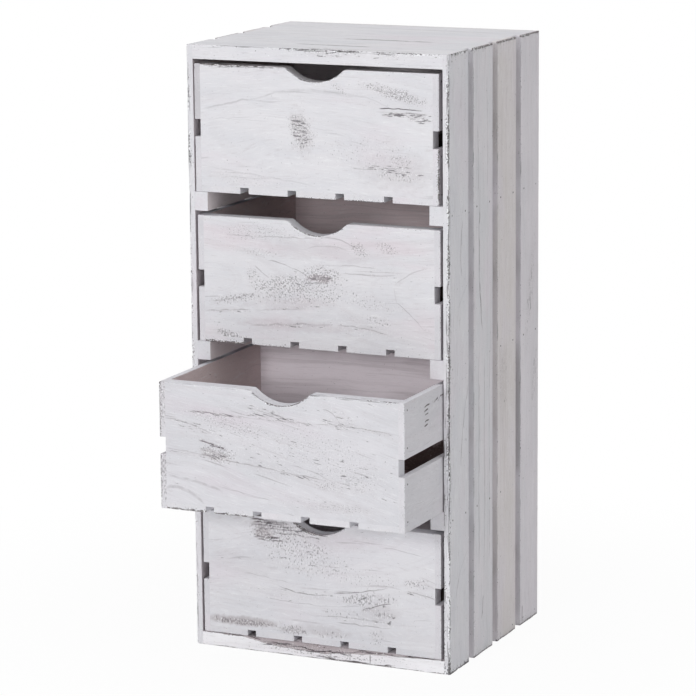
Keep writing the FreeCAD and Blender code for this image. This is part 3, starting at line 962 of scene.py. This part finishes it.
# %% The third drawer's figure
front_paint[3] = whitewashed(
    "front_3_wash", marked_side=-1, Heart=(-0.165, -0.085, 0.0), Taper=0.30, Lean=-0.20,
    Band_Strength=0.08, Dashes=0.45, Hair_Strength=0.35, Wash=screen(218, 217, 222),
    Cloud=screen(210, 210, 215), Blush=screen(215, 210, 217),
    dashes=[(-92, 42, 48, 3, -1, 0.95), (0, 43, 66, 5, -4, 0.85), (80, 42, 30, 7, -12, 0.85),
        (130, 38, 30, 3, -5, 0.8), (-93, 3, 24, 3, -16, 1.15), (-86, -11, 24, 8, -8, 0.95),
        (-20, 50, 34, 7, -10, 0.8), (85, -15, 64, 30, -14, 0.5), (100, -26, 30, 12, -14, 0.6),
        (-118, 24, 46, 8, -12, 0.75), (20, -26, 52, 3, -6, 0.85), (6, 16, 26, 6, -10, 0.75),
        (-20, -8, 60, 24, -12, 0.5), (80, 55, 36, 8, -28, 0.6), (-130, -12, 30, 4, -4, 0.6),
        (40, -60, 60, 12, 0, 0.4)],
    specks=[(60, 5, 78, 34, -14, 0.4), (-85, -8, 30, 14, -8, 0.8), (100, -22, 34, 18, -14, 0.42),
        (-70, 30, 70, 14, -8, 0.55), (79, -61, 40, 6, 0, 0.5), (60, -34, 20, 8, 0, 0.6)],
    lines=[((-124, 43), 42.5, (-62, 42), 1.1, 0.75), ((-64, 42), 41, (50, 41), 0.8, 0.35),
        ((40, 41), 41, (158, 37), 0.8, 0.38), ((-114, 8), 3, (-74, -3), 1.5, 0.95),
        ((-160, -7), -9, (-80, -15), 1.1, 0.40), ((-84, -15), -21, (66, -29), 1.1, 0.50),
        ((-159, -42), -46, (-77, -57), 2.6, 0.28), ((-161, -59), -58, (-104, -76), 3.4, 0.28),
        ((-162, 31), 27, (-93, 16), 1.1, 0.35), ((-36, 52), 47, (26, 38), 1.0, 0.35),
        ((-90, -48), -56, (-10, -62), 1.0, 0.22), ((10, -12), -18, (70, -28), 0.9, 0.30),
        ((60, 60), 55, (84, 40), 1.0, 0.4), ((36, 78.5), 78, (160, 78.5), 0.8, 0.7),
        ((-160, 79), 79, (-40, 79), 0.7, 0.5)],
    stains=[(-92, -10, 22, 7, -10, 0.45), (70, -34, 50, 8, -6, 0.10), (80, -61, 50, 8, 0, 0.12)])

# %% The lowest drawer's figure
front_paint[4] = whitewashed(
    "front_4_wash", marked_side=-1, Heart=(-0.015, 0.10, 0.0), Taper=0.40, Band_Strength=0.07,
    Dashes=0.15, Hair_Strength=0.3, Line_Colour=screen(98, 90, 95),
    dashes=[(-76, 68, 30, 4, 0, 0.95), (-78, 49, 18, 4, 0, 0.95), (-60, 58, 34, 9, 0, 0.55),
        (-10, 60, 40, 8, 0, 0.9), (66, -20, 42, 8, 3, 0.75), (80, -28, 30, 4, 14, 0.85),
        (90, -36, 18, 5, -4, 0.55), (60, -46, 70, 6, 0, 0.6), (140, -4, 26, 4, -3, 0.75),
        (-30, -22, 80, 12, 0, 0.4), (-20, 30, 80, 20, -4, 0.5)],
    specks=[(-62, 58, 46, 15, 0, 0.8), (-30, 40, 56, 16, -8, 0.75), (-10, 20, 70, 20, -4, 0.55),
        (66, -18, 46, 11, 4, 0.85), (-40, -70, 26, 7, 0, 0.85), (88, -36, 22, 6, -4, 0.85),
        (134, 10, 24, 8, 0, 0.75), (-110, -67, 54, 5, 0, 1.0), (60, 8, 60, 14, 0, 0.4),
        (10, -70, 30, 6, 0, 0.6), (80, -66, 12, 14, 0, 0.6), (30, -40, 30, 6, 0, 0.5)],
    lines=[((-102, 72), 71.5, (-46, 70.5), 1.7, 1.0), ((-96, 68.5), 68.5, (-50, 68), 1.4, 1.0),
        ((-100, 65), 65, (-34, 64.5), 1.3, 0.8), ((-94, 61), 61.5, (-30, 61), 1.3, 0.6),
        ((-92, 50.5), 49.5, (-56, 50), 1.8, 1.0), ((-90, 46), 46, (-50, 45.5), 1.4, 0.9),
        ((-70, 56), 56, (0, 55), 1.2, 0.5), ((-62, -12), -20, (20, -15), 0.9, 0.70),
        ((16, -15), -9, (96, 1), 0.9, 0.75), ((-85, -30), -33, (72, -25), 0.8, 0.30),
        ((56, -34), -26, (100, -20), 1.1, 0.75), ((-20, -47), -45, (100, -45), 0.8, 0.45),
        ((20, -53), -53, (100, -52), 0.9, 0.5), ((-110, -1), -4, (-40, -8), 0.8, 0.25),
        ((118, -2), -4, (162, -8), 0.9, 0.45), ((-100, 66), 70, (-40, 68), 1.0, 0.6),
        ((84, 52), 50, (140, 46), 0.8, 0.25)],
    # The wide, faint stain high in the middle, at (0, 62), is painted shadow: the shade that the third
    # drawer casts on this front.
    stains=[(-112, -66, 58, 7, 1, 0.75), (-40, -70, 26, 6, 0, 0.35), (-80, 55, 14, 9, 0, 0.75),
        (-72, 67, 32, 7, 0, 0.45), (0, 62, 80, 20, -4, 0.22), (-110, 14, 60, 18, -6, 0.12),
        (84, -34, 30, 12, 0, 0.22), (0, -66, 40, 8, 0, 0.3)])

# %% [markdown]
# ## The other finishes
# The cabinet's slats each took the wash a little differently: one cool, one pinkish, one warm, one
# lilac. The slats at the sides of the drawers share one figure, with a plain, a grey-ended, a marked
# and a chipped version. Their backs share another, in a pale and a browner version; the browner one,
# on the second drawer, is painted shade, and both darken along their foot into a band of painted
# shade. Their bottoms are dark brown on top, partly a thin wash and partly painted shade. Boards of
# one finish are told apart by their seeds.

# %% Materials of the upright slats
cabinet_slat_paint = [
    whitewashed(
        "slat_cool_wash", marked_side=1, Wear=0.2, Chips=1.15, Heart=(0.0, 0.25, 0.0), Taper=0.03,
        Band_Strength=0.06, Hair_Strength=0.12, Dashes=0.0,
        lines=[((109, 9), 7, (184, 12), 1.5, 0.5), ((-132, 5), 14, (-16, 36), 1.5, 0.45),
            ((-300, -10), 0, (-238, 32), 1.5, 0.36), ((70, -4), 12, (104, 36), 4.0, 0.12)]),
    whitewashed(
        "slat_pink_wash", marked_side=1, Heart=(0.0, -0.3, 0.0), Taper=0.03, Band_Strength=0.10,
        Hair_Strength=0.2, Dashes=0.0, Wash=screen(224, 221, 225), Cloud=screen(216, 216, 220),
        lines=[((27, -3), -13, (198, -11), 1.8, 0.75), ((-290, -15), -15, (20, -15), 1.4, 0.45),
            ((-290, 4), 4, (15, 3), 1.4, 0.36), ((-290, 20), 20, (15, 20), 1.4, 0.32),
            ((-346, -6), -2, (-314, 0), 2.0, 0.8), ((200, 12), 14, (360, 10), 1.6, 0.22),
            ((190, -18), -16, (300, -20), 1.6, 0.28)]),
    whitewashed(
        "slat_warm_wash", marked_side=1, Heart=(0.0, 0.3, 0.0), Taper=0.04, Band_Strength=0.12,
        Hair_Strength=0.2, Dashes=0.0, Wash=screen(223, 218, 219), Cloud=screen(217, 212, 211),
        dashes=[(-45, -12, 46, 16, 0, 0.5)],
        stains=[(-45, -12, 50, 18, 0, 0.10)]),
    whitewashed(
        "slat_lilac_wash", marked_side=1, Heart=(0.0, -0.25, 0.0), Taper=0.03, Band_Strength=0.06,
        Hair_Strength=0.12, Dashes=0.0, Wash=screen(226, 222, 227), Cloud=screen(219, 216, 221),
        dashes=[(56, 2, 84, 12, 12, 0.75), (-62, 18, 44, 9, 10, 0.75)],
        lines=[((-387, -24), -24, (-363, -24), 1.2, 0.9)]),
]

# %% Materials of the other boards
# The top board's dark brown underside is painted shade, which deepens the shade in the gap above the top
# drawer.
top_paint = whitewashed(
    "top_wash", marked_side=1, Heart=(0.0, 0.22, 0.0), Taper=0.05, Band_Strength=0.08,
    Hair_Strength=0.2, Dashes=0.0, Wear=0.2, Chips=1.2, Line_Colour=screen(92, 84, 88),
    Thin_Colour=screen(120, 104, 101),
    dashes=[(20, -140, 50, 14, 0, 0.9), (90, -140, 50, 10, 0, 0.7)],
    lines=[((-24, -22), -23, (110, -24), 4.2, 0.85), ((-54, -96), -98, (58, -100), 3.8, 0.8),
        ((-60, 110), 108, (160, 104), 6.0, 0.10), ((-160, -62), -58, (-20, -62), 4.0, 0.18),
        ((20, -132), -130, (165, -128), 4.0, 0.18)])
bottom_paint = whitewashed(
    "bottom_wash", Heart=(0.0, 0.2, 0.0), Taper=0.05, Wear=0.5, Chips=0.3, Streaks=0.1,
    Hair_Strength=0.15, marked_side=-1, Bare_Colour=screen(188, 177, 180), Wash=screen(247, 246, 249),
    Cloud=screen(242, 241, 244), Blush=screen(240, 236, 241), Line_Colour=screen(74, 64, 66),
    Stain_Colour=screen(96, 88, 90),
    specks=[(-10, -2, 120, 5, 0, 0.7), (60, 0, 70, 6, 0, 0.5)],
    dashes=[(-66, 2.4, 34, 1.6, 5, 1.3), (-16, -0.4, 30, 1.8, 0, 1.4), (30, 1.2, 30, 1.6, -4, 1.3),
        (80, 5.6, 50, 1.4, -4, 1.2), (10, -4.5, 46, 2.6, 0, 0.9)],
    lines=[((-4, -7.2), -7.2, (104, -7.2), 1.5, 1.0), ((-112, 9), 4.2, (-24, 1.8), 0.9, 0.9),
        ((-36, 2.2), 0.6, (24, 0.8), 0.9, 1.0), ((12, 0.8), 3.6, (64, 5.8), 0.8, 0.8),
        ((50, 5), 7.4, (170, 9), 0.9, 0.8), ((-150, 9), 9, (-86, 8.4), 0.9, 0.8),
        ((94, 7.2), 7.6, (134, 8.2), 1.5, 1.0)],
    stains=[(68, 0, 0.8, 8, 0, 1.3), (40, 0, 0.5, 4, 0, 0.9), (-14, -3, 0.5, 4, 0, 1.0)])
# The runners' inner sides are paler than their other faces: painted light on sides that stand in the shade
# between the drawers.
runner_paint = whitewashed(
    "runner_wash", Heart=(0.0, 0.2, 0.0), Taper=0.05, Band_Strength=0.05, Hair_Strength=0.1,
    Thin_Colour=screen(236, 227, 228))
panel_paint = whitewashed(
    "panel_wash", Heart=(0.0, 0.02, 0.0), Taper=0.08, Wander=0.02, Band_Strength=0.3,
    Wash=screen(208, 203, 203), Cloud=screen(198, 192, 192))
SLAT_FIGURE = {"Heart": (0.0, 0.12, 0.0), "Taper": 0.08, "Band_Strength": 0.05, "Dashes": 0.1,
               "Wash": screen(219, 217, 222), "Cloud": screen(211, 210, 215),
               "Thin_Colour": screen(224, 207, 206)}
drawer_slat_paint = whitewashed("drawer_slat_wash", Chips=0.5, Wear=0.3, **SLAT_FIGURE)
grey_ended_slat_paint = whitewashed(
    "grey_ended_slat_wash", Chips=0.5, Stain_Colour=screen(172, 168, 172),
    stains=[(-144, 0, 8, 70, 0, 0.55)],
    **SLAT_FIGURE)
marked_slat_paint = whitewashed(
    "marked_slat_wash", marked_side=1, Chips=0.5, Line_Colour=screen(76, 68, 70),
    specks=[(-40, 20, 20, 4, 0, 0.6)],
    lines=[((-84, 18), 18.5, (-66, 19), 1.5, 1.0), ((-85, 13), 13, (-71, 13.5), 1.5, 1.0),
        ((-82, 8), 8, (-70, 8.5), 1.3, 0.8), ((-82, -1), -0.5, (-68, 0), 1.4, 0.9),
        ((-84, -6), -6, (-72, -5.5), 1.4, 1.0), ((-54, 19), 20, (-40, 21), 1.4, 1.0),
        ((-34, 22), 22.5, (-22, 23), 1.4, 1.0)],
    **SLAT_FIGURE)
chipped_slat_paint = whitewashed(
    "chipped_slat_wash",
    dashes=[(-144, 24, 12, 30, 0, 0.9)],
    specks=[(-144, 6, 10, 34, 0, 0.7)],
    **SLAT_FIGURE)
# The tops of the drawer floors are dark brown: partly a thin wash on bare wood, and partly painted shade for
# the inside of the drawers.
drawer_floor_paint = whitewashed(
    "drawer_floor_wash", Heart=(0.0, 0.12, 0.0), Taper=0.08, Band_Strength=0.05, Dashes=0.1,
    Thin_Colour=screen(128, 111, 108), End_Shade=0.05)
# The dark band low on the inner face of each back, the wide stain at (0, -66), is painted shade: the shadow
# low inside the drawers behind their fronts.
BACK_FIGURE = {"Heart": (0.0, -0.12, 0.0), "Taper": 0.2, "Dashes": 0.1, "Band_Strength": 0.25,
               "marked_side": -1, "stains": [(0, -66, 420, 52, 0, 1.4)],
               "Stain_Colour": screen(92, 76, 73)}
pale_back_paint = whitewashed("pale_back_wash", Thin_Colour=screen(240, 232, 238), **BACK_FIGURE)
# The browner inner face of the second drawer's back is painted shade, for the deeper shade inside that
# closed drawer.
shaded_back_paint = whitewashed("shaded_back_wash", Thin_Colour=screen(226, 209, 212), **BACK_FIGURE)
print(len(bpy.data.materials), "materials")

# %% [markdown]
# ## The cabinet
# Four upright slats a side stand the full height and cover the ends of the top and bottom boards, so
# their front edges make the narrow stiles at each side of the fronts. Runners between the slats carry
# the drawers. Each piece is built inside its node's own box, and its seed is a number that no other
# board has.

# %% Upright slats
SIDES = {"left": ("x-", "x+"), "right": ("x+", "x-")}
STILE_EDGE_WEAR = {
    "left": [(0, 0.5), (120, 0.9), (300, 1.1), (560, 0.9), (620, 1.2), (780, 0.9)],
    "right": [(0, 1.7), (40, 1.2), (150, 1.0), (235, 1.1), (270, 1.7), (400, 1.7), (450, 1.3),
              (600, 1.2), (700, 1.4), (780, 1.2)],
}
STILE_INNER_WEAR = {"left": 0.15, "right": [(0, 0.9), (200, 1.0), (330, 0.7), (380, 0.2), (780, 0.15)]}
STILE_FOOT_WEAR = {"left": 0.6, "right": 2.2}
SLAT_SEED = {"left": 10, "right": 0}

for side, (outer, inner) in SIDES.items():
    for number in range(1, 5):
        wear = {(outer, "z+"): 1.2, (outer, "z-"): 1.2, ("y-", "z-"): 0.5, ("y+", "z-"): 0.4,
                (outer, "y-"): 0.4, (outer, "y+"): 0.3}
        if number == 1:
            wear |= {(outer, "y-"): STILE_EDGE_WEAR[side], (inner, "y-"): STILE_INNER_WEAR[side],
                     (outer, "z-"): STILE_FOOT_WEAR[side], (inner, "y+"): 0.2, ("y-", "z+"): 0.1,
                     (inner, "z+"): 0.0, (inner, "z-"): 0.0}
        dress(f"side_slat_{side}_{number}", cabinet_slat_paint[number - 1], "zyx",
              SLAT_SEED[side] + number, wear, (inner,))
print(len(made_pieces), "slats stand")

# %% Top board, runners and back panel
TOP_SEED = 21
PANEL_SEED = 41
PANEL_STEPS = (8.0, 4.0, 8.0)
RUNNER_SEED = {"left": 35, "right": 30}
TOP_EDGE_WEAR = [(0, 0.6), (110, 0.7), (132, 1.25), (205, 1.25), (225, 0.9), (295, 1.0), (340, 0.8)]
FLUSH_ENDS = {("x-", "z+"): 0.0, ("x+", "z+"): 0.0, ("x-", "y-"): 0.0, ("x+", "y-"): 0.0,
              ("x-", "z-"): 0.0, ("x+", "z-"): 0.0}

dress("top_board", top_paint, "xyz", TOP_SEED, FLUSH_ENDS | {("y-", "z+"): TOP_EDGE_WEAR}, ("z-",))
for side, (against, facing) in SIDES.items():
    for number in range(1, 4):
        dress(f"runner_{side}_{number}", runner_paint, "yxz", RUNNER_SEED[side] + number,
              {(against, "y-"): 0.0}, (facing,))
dress("back_panel", panel_paint, "zxy", PANEL_SEED, None, ("y-",), PANEL_STEPS)
print(made_pieces[-8:])

# %% Bottom board with its worn hollow
BOTTOM_SEED = 22
HOLLOW_HEART = 4 * MM
HOLLOW_TO_LEFT = 116 * MM
HOLLOW_TO_RIGHT = 170 * MM
LEFT_CURVE = 3
RIGHT_CURVE = 1.7
HOLLOW_HEIGHT = 11 * MM
HOLLOW_DEPTH = 8 * MM
HOLLOW_ROUGHNESS = 0.3 * MM
HOLLOW_SWELL = 0.15
HOLLOW_ENDS = 0.02
SHALLOWEST = 1e-6
HOLLOW_RUB = {"least": 0.3, "rise": 2.5, "most": 1.3}
BOTTOM_STEPS = (3.0, 4.0, 2.0)
SWELL_NOISE = {"per_metre": 60, "seed": 71}
ROUGH_NOISE = {"per_metre": 220, "seed": 77}


def worn_hollow(places, size, rub):
    """Rubs a long hollow into the front top edge: steep towards the left, fading to the right."""
    from_heart = places[:, 0] - size[0] / 2 - HOLLOW_HEART
    left = np.clip(1 - np.abs(from_heart / HOLLOW_TO_LEFT) ** LEFT_CURVE, 0, 1)
    right = np.clip(1 - from_heart / HOLLOW_TO_RIGHT, 0, 1) ** RIGHT_CURVE
    share = np.where(from_heart < 0, left, right)
    share = share * (1 + HOLLOW_SWELL * noise_at(places * [1, 0, 0], **SWELL_NOISE))
    depth = np.maximum(HOLLOW_DEPTH * share, SHALLOWEST)
    height = np.maximum(HOLLOW_HEIGHT * share, SHALLOWEST)
    past = np.clip(1 - places[:, 1] / depth - (size[2] - places[:, 2]) / height, 0, None)
    past = past * (share > HOLLOW_ENDS)
    rough = np.zeros(len(places))
    hollow = past > 0
    rough[hollow] = np.abs(noise_at(places[hollow], **ROUGH_NOISE)) * HOLLOW_ROUGHNESS
    moved = places.copy()
    moved[:, 1] += past * depth / 2 + rough
    moved[:, 2] -= past * height / 2 + rough
    rubbed = np.clip(HOLLOW_RUB["least"] + past * HOLLOW_RUB["rise"], 0, HOLLOW_RUB["most"])
    return moved, np.where(hollow, np.maximum(rub, rubbed), rub)


dress("bottom_board", bottom_paint, "xzy", BOTTOM_SEED,
      FLUSH_ENDS | {("y-", "z+"): 0.8, ("y-", "z-"): 0.8}, ("z+",), BOTTOM_STEPS, worn_hollow)
print("bottom board ready")

# %% [markdown]
# ## The drawers
# A drawer is a front and a back board between two pairs of side slats, on five bottom slats. The
# front's hand cut-out is an arc whose corners are eased with a small radius. It is made by a bend of
# the board: points under the arc move down, those near the top edge most, so the lattice stays even
# and the rubbed edge follows the arc.

# %% The hand cut-out
GRIP_HALF_WIDTH = 40 * MM
GRIP_DEPTH = 17 * MM
GRIP_REACH = 60 * MM
GRIP_CORNER = 6 * MM
GRIP_RADIUS = (GRIP_HALF_WIDTH ** 2 + GRIP_DEPTH ** 2) / (2 * GRIP_DEPTH)
ARC_HEART_UP = GRIP_RADIUS - GRIP_DEPTH
CORNER_ACROSS = math.sqrt((GRIP_RADIUS + GRIP_CORNER) ** 2 - (ARC_HEART_UP + GRIP_CORNER) ** 2)
CORNER_MEETS_ARC = CORNER_ACROSS * GRIP_RADIUS / (GRIP_RADIUS + GRIP_CORNER)


def grip_drop(across):
    """How far the top edge drops below the board's top at each place across it."""
    far = np.abs(across)
    arc = np.sqrt(np.clip(GRIP_RADIUS ** 2 - far ** 2, 0, None)) - ARC_HEART_UP
    corner = GRIP_CORNER - np.sqrt(np.clip(GRIP_CORNER ** 2 - (CORNER_ACROSS - far) ** 2, 0, None))
    return np.where(far < CORNER_MEETS_ARC, arc, np.where(far < CORNER_ACROSS, corner, 0.0))


def hand_cut_out(places, size, rub):
    """Drops the top edge along the arc, and the points below it by less and less."""
    drop = grip_drop(places[:, 0] - size[0] / 2)
    share = np.clip(1 - (size[2] - places[:, 2]) / GRIP_REACH, 0, 1)
    moved = places.copy()
    moved[:, 2] -= drop * share * share * (3 - 2 * share)
    return moved, rub


print("arc radius", round(GRIP_RADIUS / MM, 1), "mm, deepest", round(float(grip_drop(0.0)) / MM, 1))

# %% Bottom slats of a drawer
BOTTOM_SLATS = 5
BOTTOM_SLAT_WIDTH = 54 * MM
BOTTOM_SLAT_WEAR = 0.35
WORN_BOTTOM_SLATS = {(2, 0): 1.2, (2, 1): 0.6, (3, 0): 1.2, (3, 1): 1.0, (1, 2): 0.6, (1, 3): 0.7}


def slat_starts(node):
    """The left side of each bottom slat, spread evenly across the node's box."""
    low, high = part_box(node)
    pitch = (high[0] - low[0] - BOTTOM_SLAT_WIDTH) / (BOTTOM_SLATS - 1)
    return [low[0] + number * pitch for number in range(BOTTOM_SLATS)]


def bottom_slats(drawer, seed):
    """The five bottom slats of one drawer."""
    node = f"drawer_{drawer}_bottom"
    low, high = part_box(node)
    slats = []
    for number, left in enumerate(slat_starts(node)):
        wear = {("y-", "z+"): 0.0, ("y-", "z-"): WORN_BOTTOM_SLATS.get((drawer, number), BOTTOM_SLAT_WEAR)}
        if number == 0:
            wear[("y-", "x-")] = 0.0
        if number == BOTTOM_SLATS - 1:
            wear[("y-", "x+")] = 0.0
        slats.append(board_arrays((left, low[1], low[2]), (left + BOTTOM_SLAT_WIDTH, high[1], high[2]),
                                  "yxz", seed + number, wear, ("z+",)))
    return slats


print("slats", BOTTOM_SLAT_WIDTH / MM, "mm wide")

# %% Build the four drawers
FRONT_TOP_WEAR = {
    1: [(0, 0.8), (60, 0.9), (100, 0.4), (118, 0.7), (200, 0.7), (210, 0.4), (317, 0.3)],
    2: [(0, 0.3), (112, 0.3), (122, 0.7), (196, 0.7), (206, 0.4), (317, 0.4)],
    3: [(0, 0.4), (112, 0.4), (122, 0.8), (196, 0.8), (206, 0.6), (317, 0.7)],
    4: [(0, 0.4), (60, 0.8), (112, 1.3), (150, 1.2), (170, 0.7), (206, 0.4), (317, 0.3)],
}
FRONT_WEAR = {("y-", "x-"): 0.0, ("y-", "x+"): 0.0, ("y-", "z-"): 0.0, ("x-", "z+"): 0.0, ("x+", "z+"): 0.0}
FRONT_STEPS = (2.0, 4.0, 4.0)
BACK_PAINT = {1: pale_back_paint, 2: shaded_back_paint, 3: pale_back_paint, 4: pale_back_paint}
SLAT_PAINT = {(1, "left_upper"): grey_ended_slat_paint, (3, "left_upper"): chipped_slat_paint,
              (3, "left_lower"): chipped_slat_paint, (3, "right_upper"): marked_slat_paint}
SLAT_EDGE_WEAR = {(1, "right_lower"): 1.1, (3, "left_upper"): 0.9, (3, "left_lower"): 0.7}
OTHER_SLATS_EDGE_WEAR = 0.45
SEEDS_PER_DRAWER = 100
SEED_IN_DRAWER = {"front": 0, "back": 1, "left_upper": 2, "left_lower": 3, "right_upper": 4,
                  "right_lower": 5, "bottom": 10}

for number in range(1, 5):
    name = f"drawer_{number}"
    seeds = {part: SEEDS_PER_DRAWER * number + seed for part, seed in SEED_IN_DRAWER.items()}
    dress(f"{name}_front", front_paint[number], "xzy", seeds["front"],
          FRONT_WEAR | {("y-", "z+"): FRONT_TOP_WEAR[number]}, ("y+",), FRONT_STEPS, hand_cut_out)
    dress(f"{name}_back", BACK_PAINT[number], "xzy", seeds["back"], FLUSH_ENDS, ("y-",))
    for place in ("left_upper", "left_lower", "right_upper", "right_lower"):
        outer, inner = SIDES[place.split("_")[0]]
        edge_wear = SLAT_EDGE_WEAR.get((number, place), OTHER_SLATS_EDGE_WEAR)
        wear = {("y-", inner): 0.0, ("y-", outer): edge_wear, (outer, "z+"): 0.3, ("y-", "z+"): 0.1,
                ("y-", "z-"): 0.1}
        dress(f"{name}_side_{place}", SLAT_PAINT.get((number, place), drawer_slat_paint), "yzx",
              seeds[place], wear, (inner,))
    join_boards(f"{name}_bottom", bottom_slats(number, seeds["bottom"]), drawer_floor_paint)
print(len(made_pieces), "pieces of wood")

# %% [markdown]
# ## Nails
# Brads hold everything together. Only their heads show: small dull steel discs, driven in flush and
# slightly domed, some of them painted over. A cylinder would do from far away, but a lathe profile
# with a low dome catches the light as a real head does. All the heads of one assembly are one piece,
# and they sit at the same regular places as the brads they stand for. How much paint a head kept is
# stored on its points, so one material serves both kinds.

# %% Steel of the nail heads
DIRT_NOISE = {"Scale": 900.0, "Detail": 2.0}
STEEL_DIRTY = (0.35, 0.65)
STEEL_PAINTED = (0.85, 1.15)
LEAST_STEEL_ROUGH = 0.4
DIRT_ROUGHER = 0.3
METAL_SHARE = 0.3

steel = bpy.data.materials.new("nail_steel")
tree = empty_tree(steel)
spot = add(tree, "TexCoord").outputs["Object"]
dirt = add(tree, "TexNoise", {"Vector": spot} | DIRT_NOISE).outputs["Fac"]
kept_paint = add(tree, "Attribute", attribute_name="paint").outputs["Fac"]
colour = mixed(ramp(dirt, *STEEL_DIRTY), screen(58, 54, 55), screen(104, 98, 98))
painted = ramp(plus(kept_paint, dirt), *STEEL_PAINTED)
shader = add(tree, "BsdfPrincipled", {
    "Base Color": mixed(painted, colour, screen(214, 211, 215)), "Metallic": METAL_SHARE,
    "Roughness": plus(LEAST_STEEL_ROUGH, times(dirt, DIRT_ROUGHER))})
add(tree, "OutputMaterial", {"Surface": shader.outputs[0]})
print("steel ready")

# %% Build nail heads
HEAD_RADIUS = 1.25 * MM
HEAD_RISE = 0.22 * MM
HEAD_SUNK = 0.5 * MM
HEAD_SIDES = 14
HEAD_PROFILE = ((1.0, -HEAD_SUNK), (1.0, 0.02 * MM), (0.86, 0.12 * MM), (0.5, 0.19 * MM))


def head_arrays(place, outward):
    """One domed head at a place, facing outward: points and faces."""
    place = Vector(place)
    turn = Vector(outward).to_track_quat("Z", "Y").to_matrix()
    points, faces = [], []
    for radius, height in HEAD_PROFILE:
        for step in range(HEAD_SIDES):
            angle = 2 * math.pi * step / HEAD_SIDES
            reach = radius * HEAD_RADIUS
            offset = Vector((reach * math.cos(angle), reach * math.sin(angle), height))
            points.append(place + turn @ offset)
    last = len(points) - HEAD_SIDES
    points += [place + turn @ Vector((0, 0, height)) for height in (HEAD_RISE, -HEAD_SUNK)]
    for step in range(HEAD_SIDES):
        after = (step + 1) % HEAD_SIDES
        faces += [(ring + step, ring + after, ring + HEAD_SIDES + after, ring + HEAD_SIDES + step)
                  for ring in range(0, last, HEAD_SIDES)]
        faces += [(last + step, last + after, len(points) - 2), (step, len(points) - 1, after)]
    return points, faces


def nail_piece(node, heads):
    """All the heads of one nail node as one piece that stands for it: (place, outward, paint)."""
    points, faces, paint = [], [], []
    for place, outward, kept in heads:
        head_points, head_faces = head_arrays(place, outward)
        faces += [tuple(corner + len(points) for corner in face) for face in head_faces]
        points += head_points
        paint += [kept] * len(head_points)
    make_piece("heads", node, [tuple(point) for point in points], faces, {"paint": paint}, steel)


def middle(node, axis):
    """The middle of a node's box along x, y or z."""
    low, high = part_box(node)
    return (low[AXES.index(axis)] + high[AXES.index(axis)]) / 2


print("a head is", 2 * HEAD_RADIUS / MM, "mm wide")

# %% Heads in the cabinet
OUTWARD = {"left": (-1, 0, 0), "right": (1, 0, 0), "back": (0, 1, 0), "down": (0, 0, -1)}
NAIL_INSET = 10 * MM
PANEL_NAIL_RISE = 5 * MM
PANEL_NAILS = 5
ENDS_PAINTED = 0.75
RUNNERS_PAINTED = 0.35
PANEL_PAINTED = 0.2
PAINT_VARIES = 0.3
PAINT_SWING = 2.4

fixed_at = [middle(node, "z") for node in
            ("bottom_board", "top_board", "runner_left_1", "runner_left_2", "runner_left_3")]
heads = []


def outer_face(node, side):
    """The corners of a node's box, and the place of its outer face across the chest."""
    low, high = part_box(node)
    return low, high, low[0] if side == "left" else high[0]


def paint_kept(height, number):
    """Heads in the top and bottom boards are mostly painted over, those in the runners less often."""
    share = ENDS_PAINTED if height in fixed_at[:2] else RUNNERS_PAINTED
    return share + PAINT_VARIES * math.sin(number * PAINT_SWING)


for side in SIDES:
    for number in range(1, 5):
        low, high, face = outer_face(f"side_slat_{side}_{number}", side)
        for y in (low[1] + NAIL_INSET, high[1] - NAIL_INSET):
            heads += [((face, y, z), OUTWARD[side], paint_kept(z, len(heads) + step))
                      for step, z in enumerate(fixed_at)]
panel_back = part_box("back_panel")[1][1]
panel_reach = middle("runner_right_1", "x")
for index, height in enumerate(fixed_at):
    count = PANEL_NAILS if index < 2 else 2
    for step in range(count):
        across = -panel_reach + 2 * panel_reach * step / (count - 1)
        heads.append(((across, panel_back, height + PANEL_NAIL_RISE), OUTWARD["back"], PANEL_PAINTED))
nail_piece("cabinet_nails", heads)
print(len(heads), "heads in the cabinet")

# %% Heads in the drawers
SLAT_THICK = 8 * MM
SIDES_PAINTED = 0.1
BOTTOMS_PAINTED = 0.3

for number in range(1, 5):
    name = f"drawer_{number}"
    ends = (middle(f"{name}_front", "y"), middle(f"{name}_back", "y"))
    heads = []
    for side in SIDES:
        for level in ("upper", "lower"):
            low, high, face = outer_face(f"{name}_side_{side}_{level}", side)
            heights = (low[2] + SLAT_THICK + NAIL_INSET / 2, high[2] - NAIL_INSET)
            heads += [((face, y, z), OUTWARD[side], SIDES_PAINTED) for y in ends for z in heights]
    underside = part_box(f"{name}_bottom")[0][2]
    for left in slat_starts(f"{name}_bottom"):
        across = left + BOTTOM_SLAT_WIDTH / 2
        heads += [((across, y, underside), OUTWARD["down"], BOTTOMS_PAINTED) for y in ends]
    nail_piece(f"{name}_nails", heads)
print(len(made_pieces), "pieces in all")
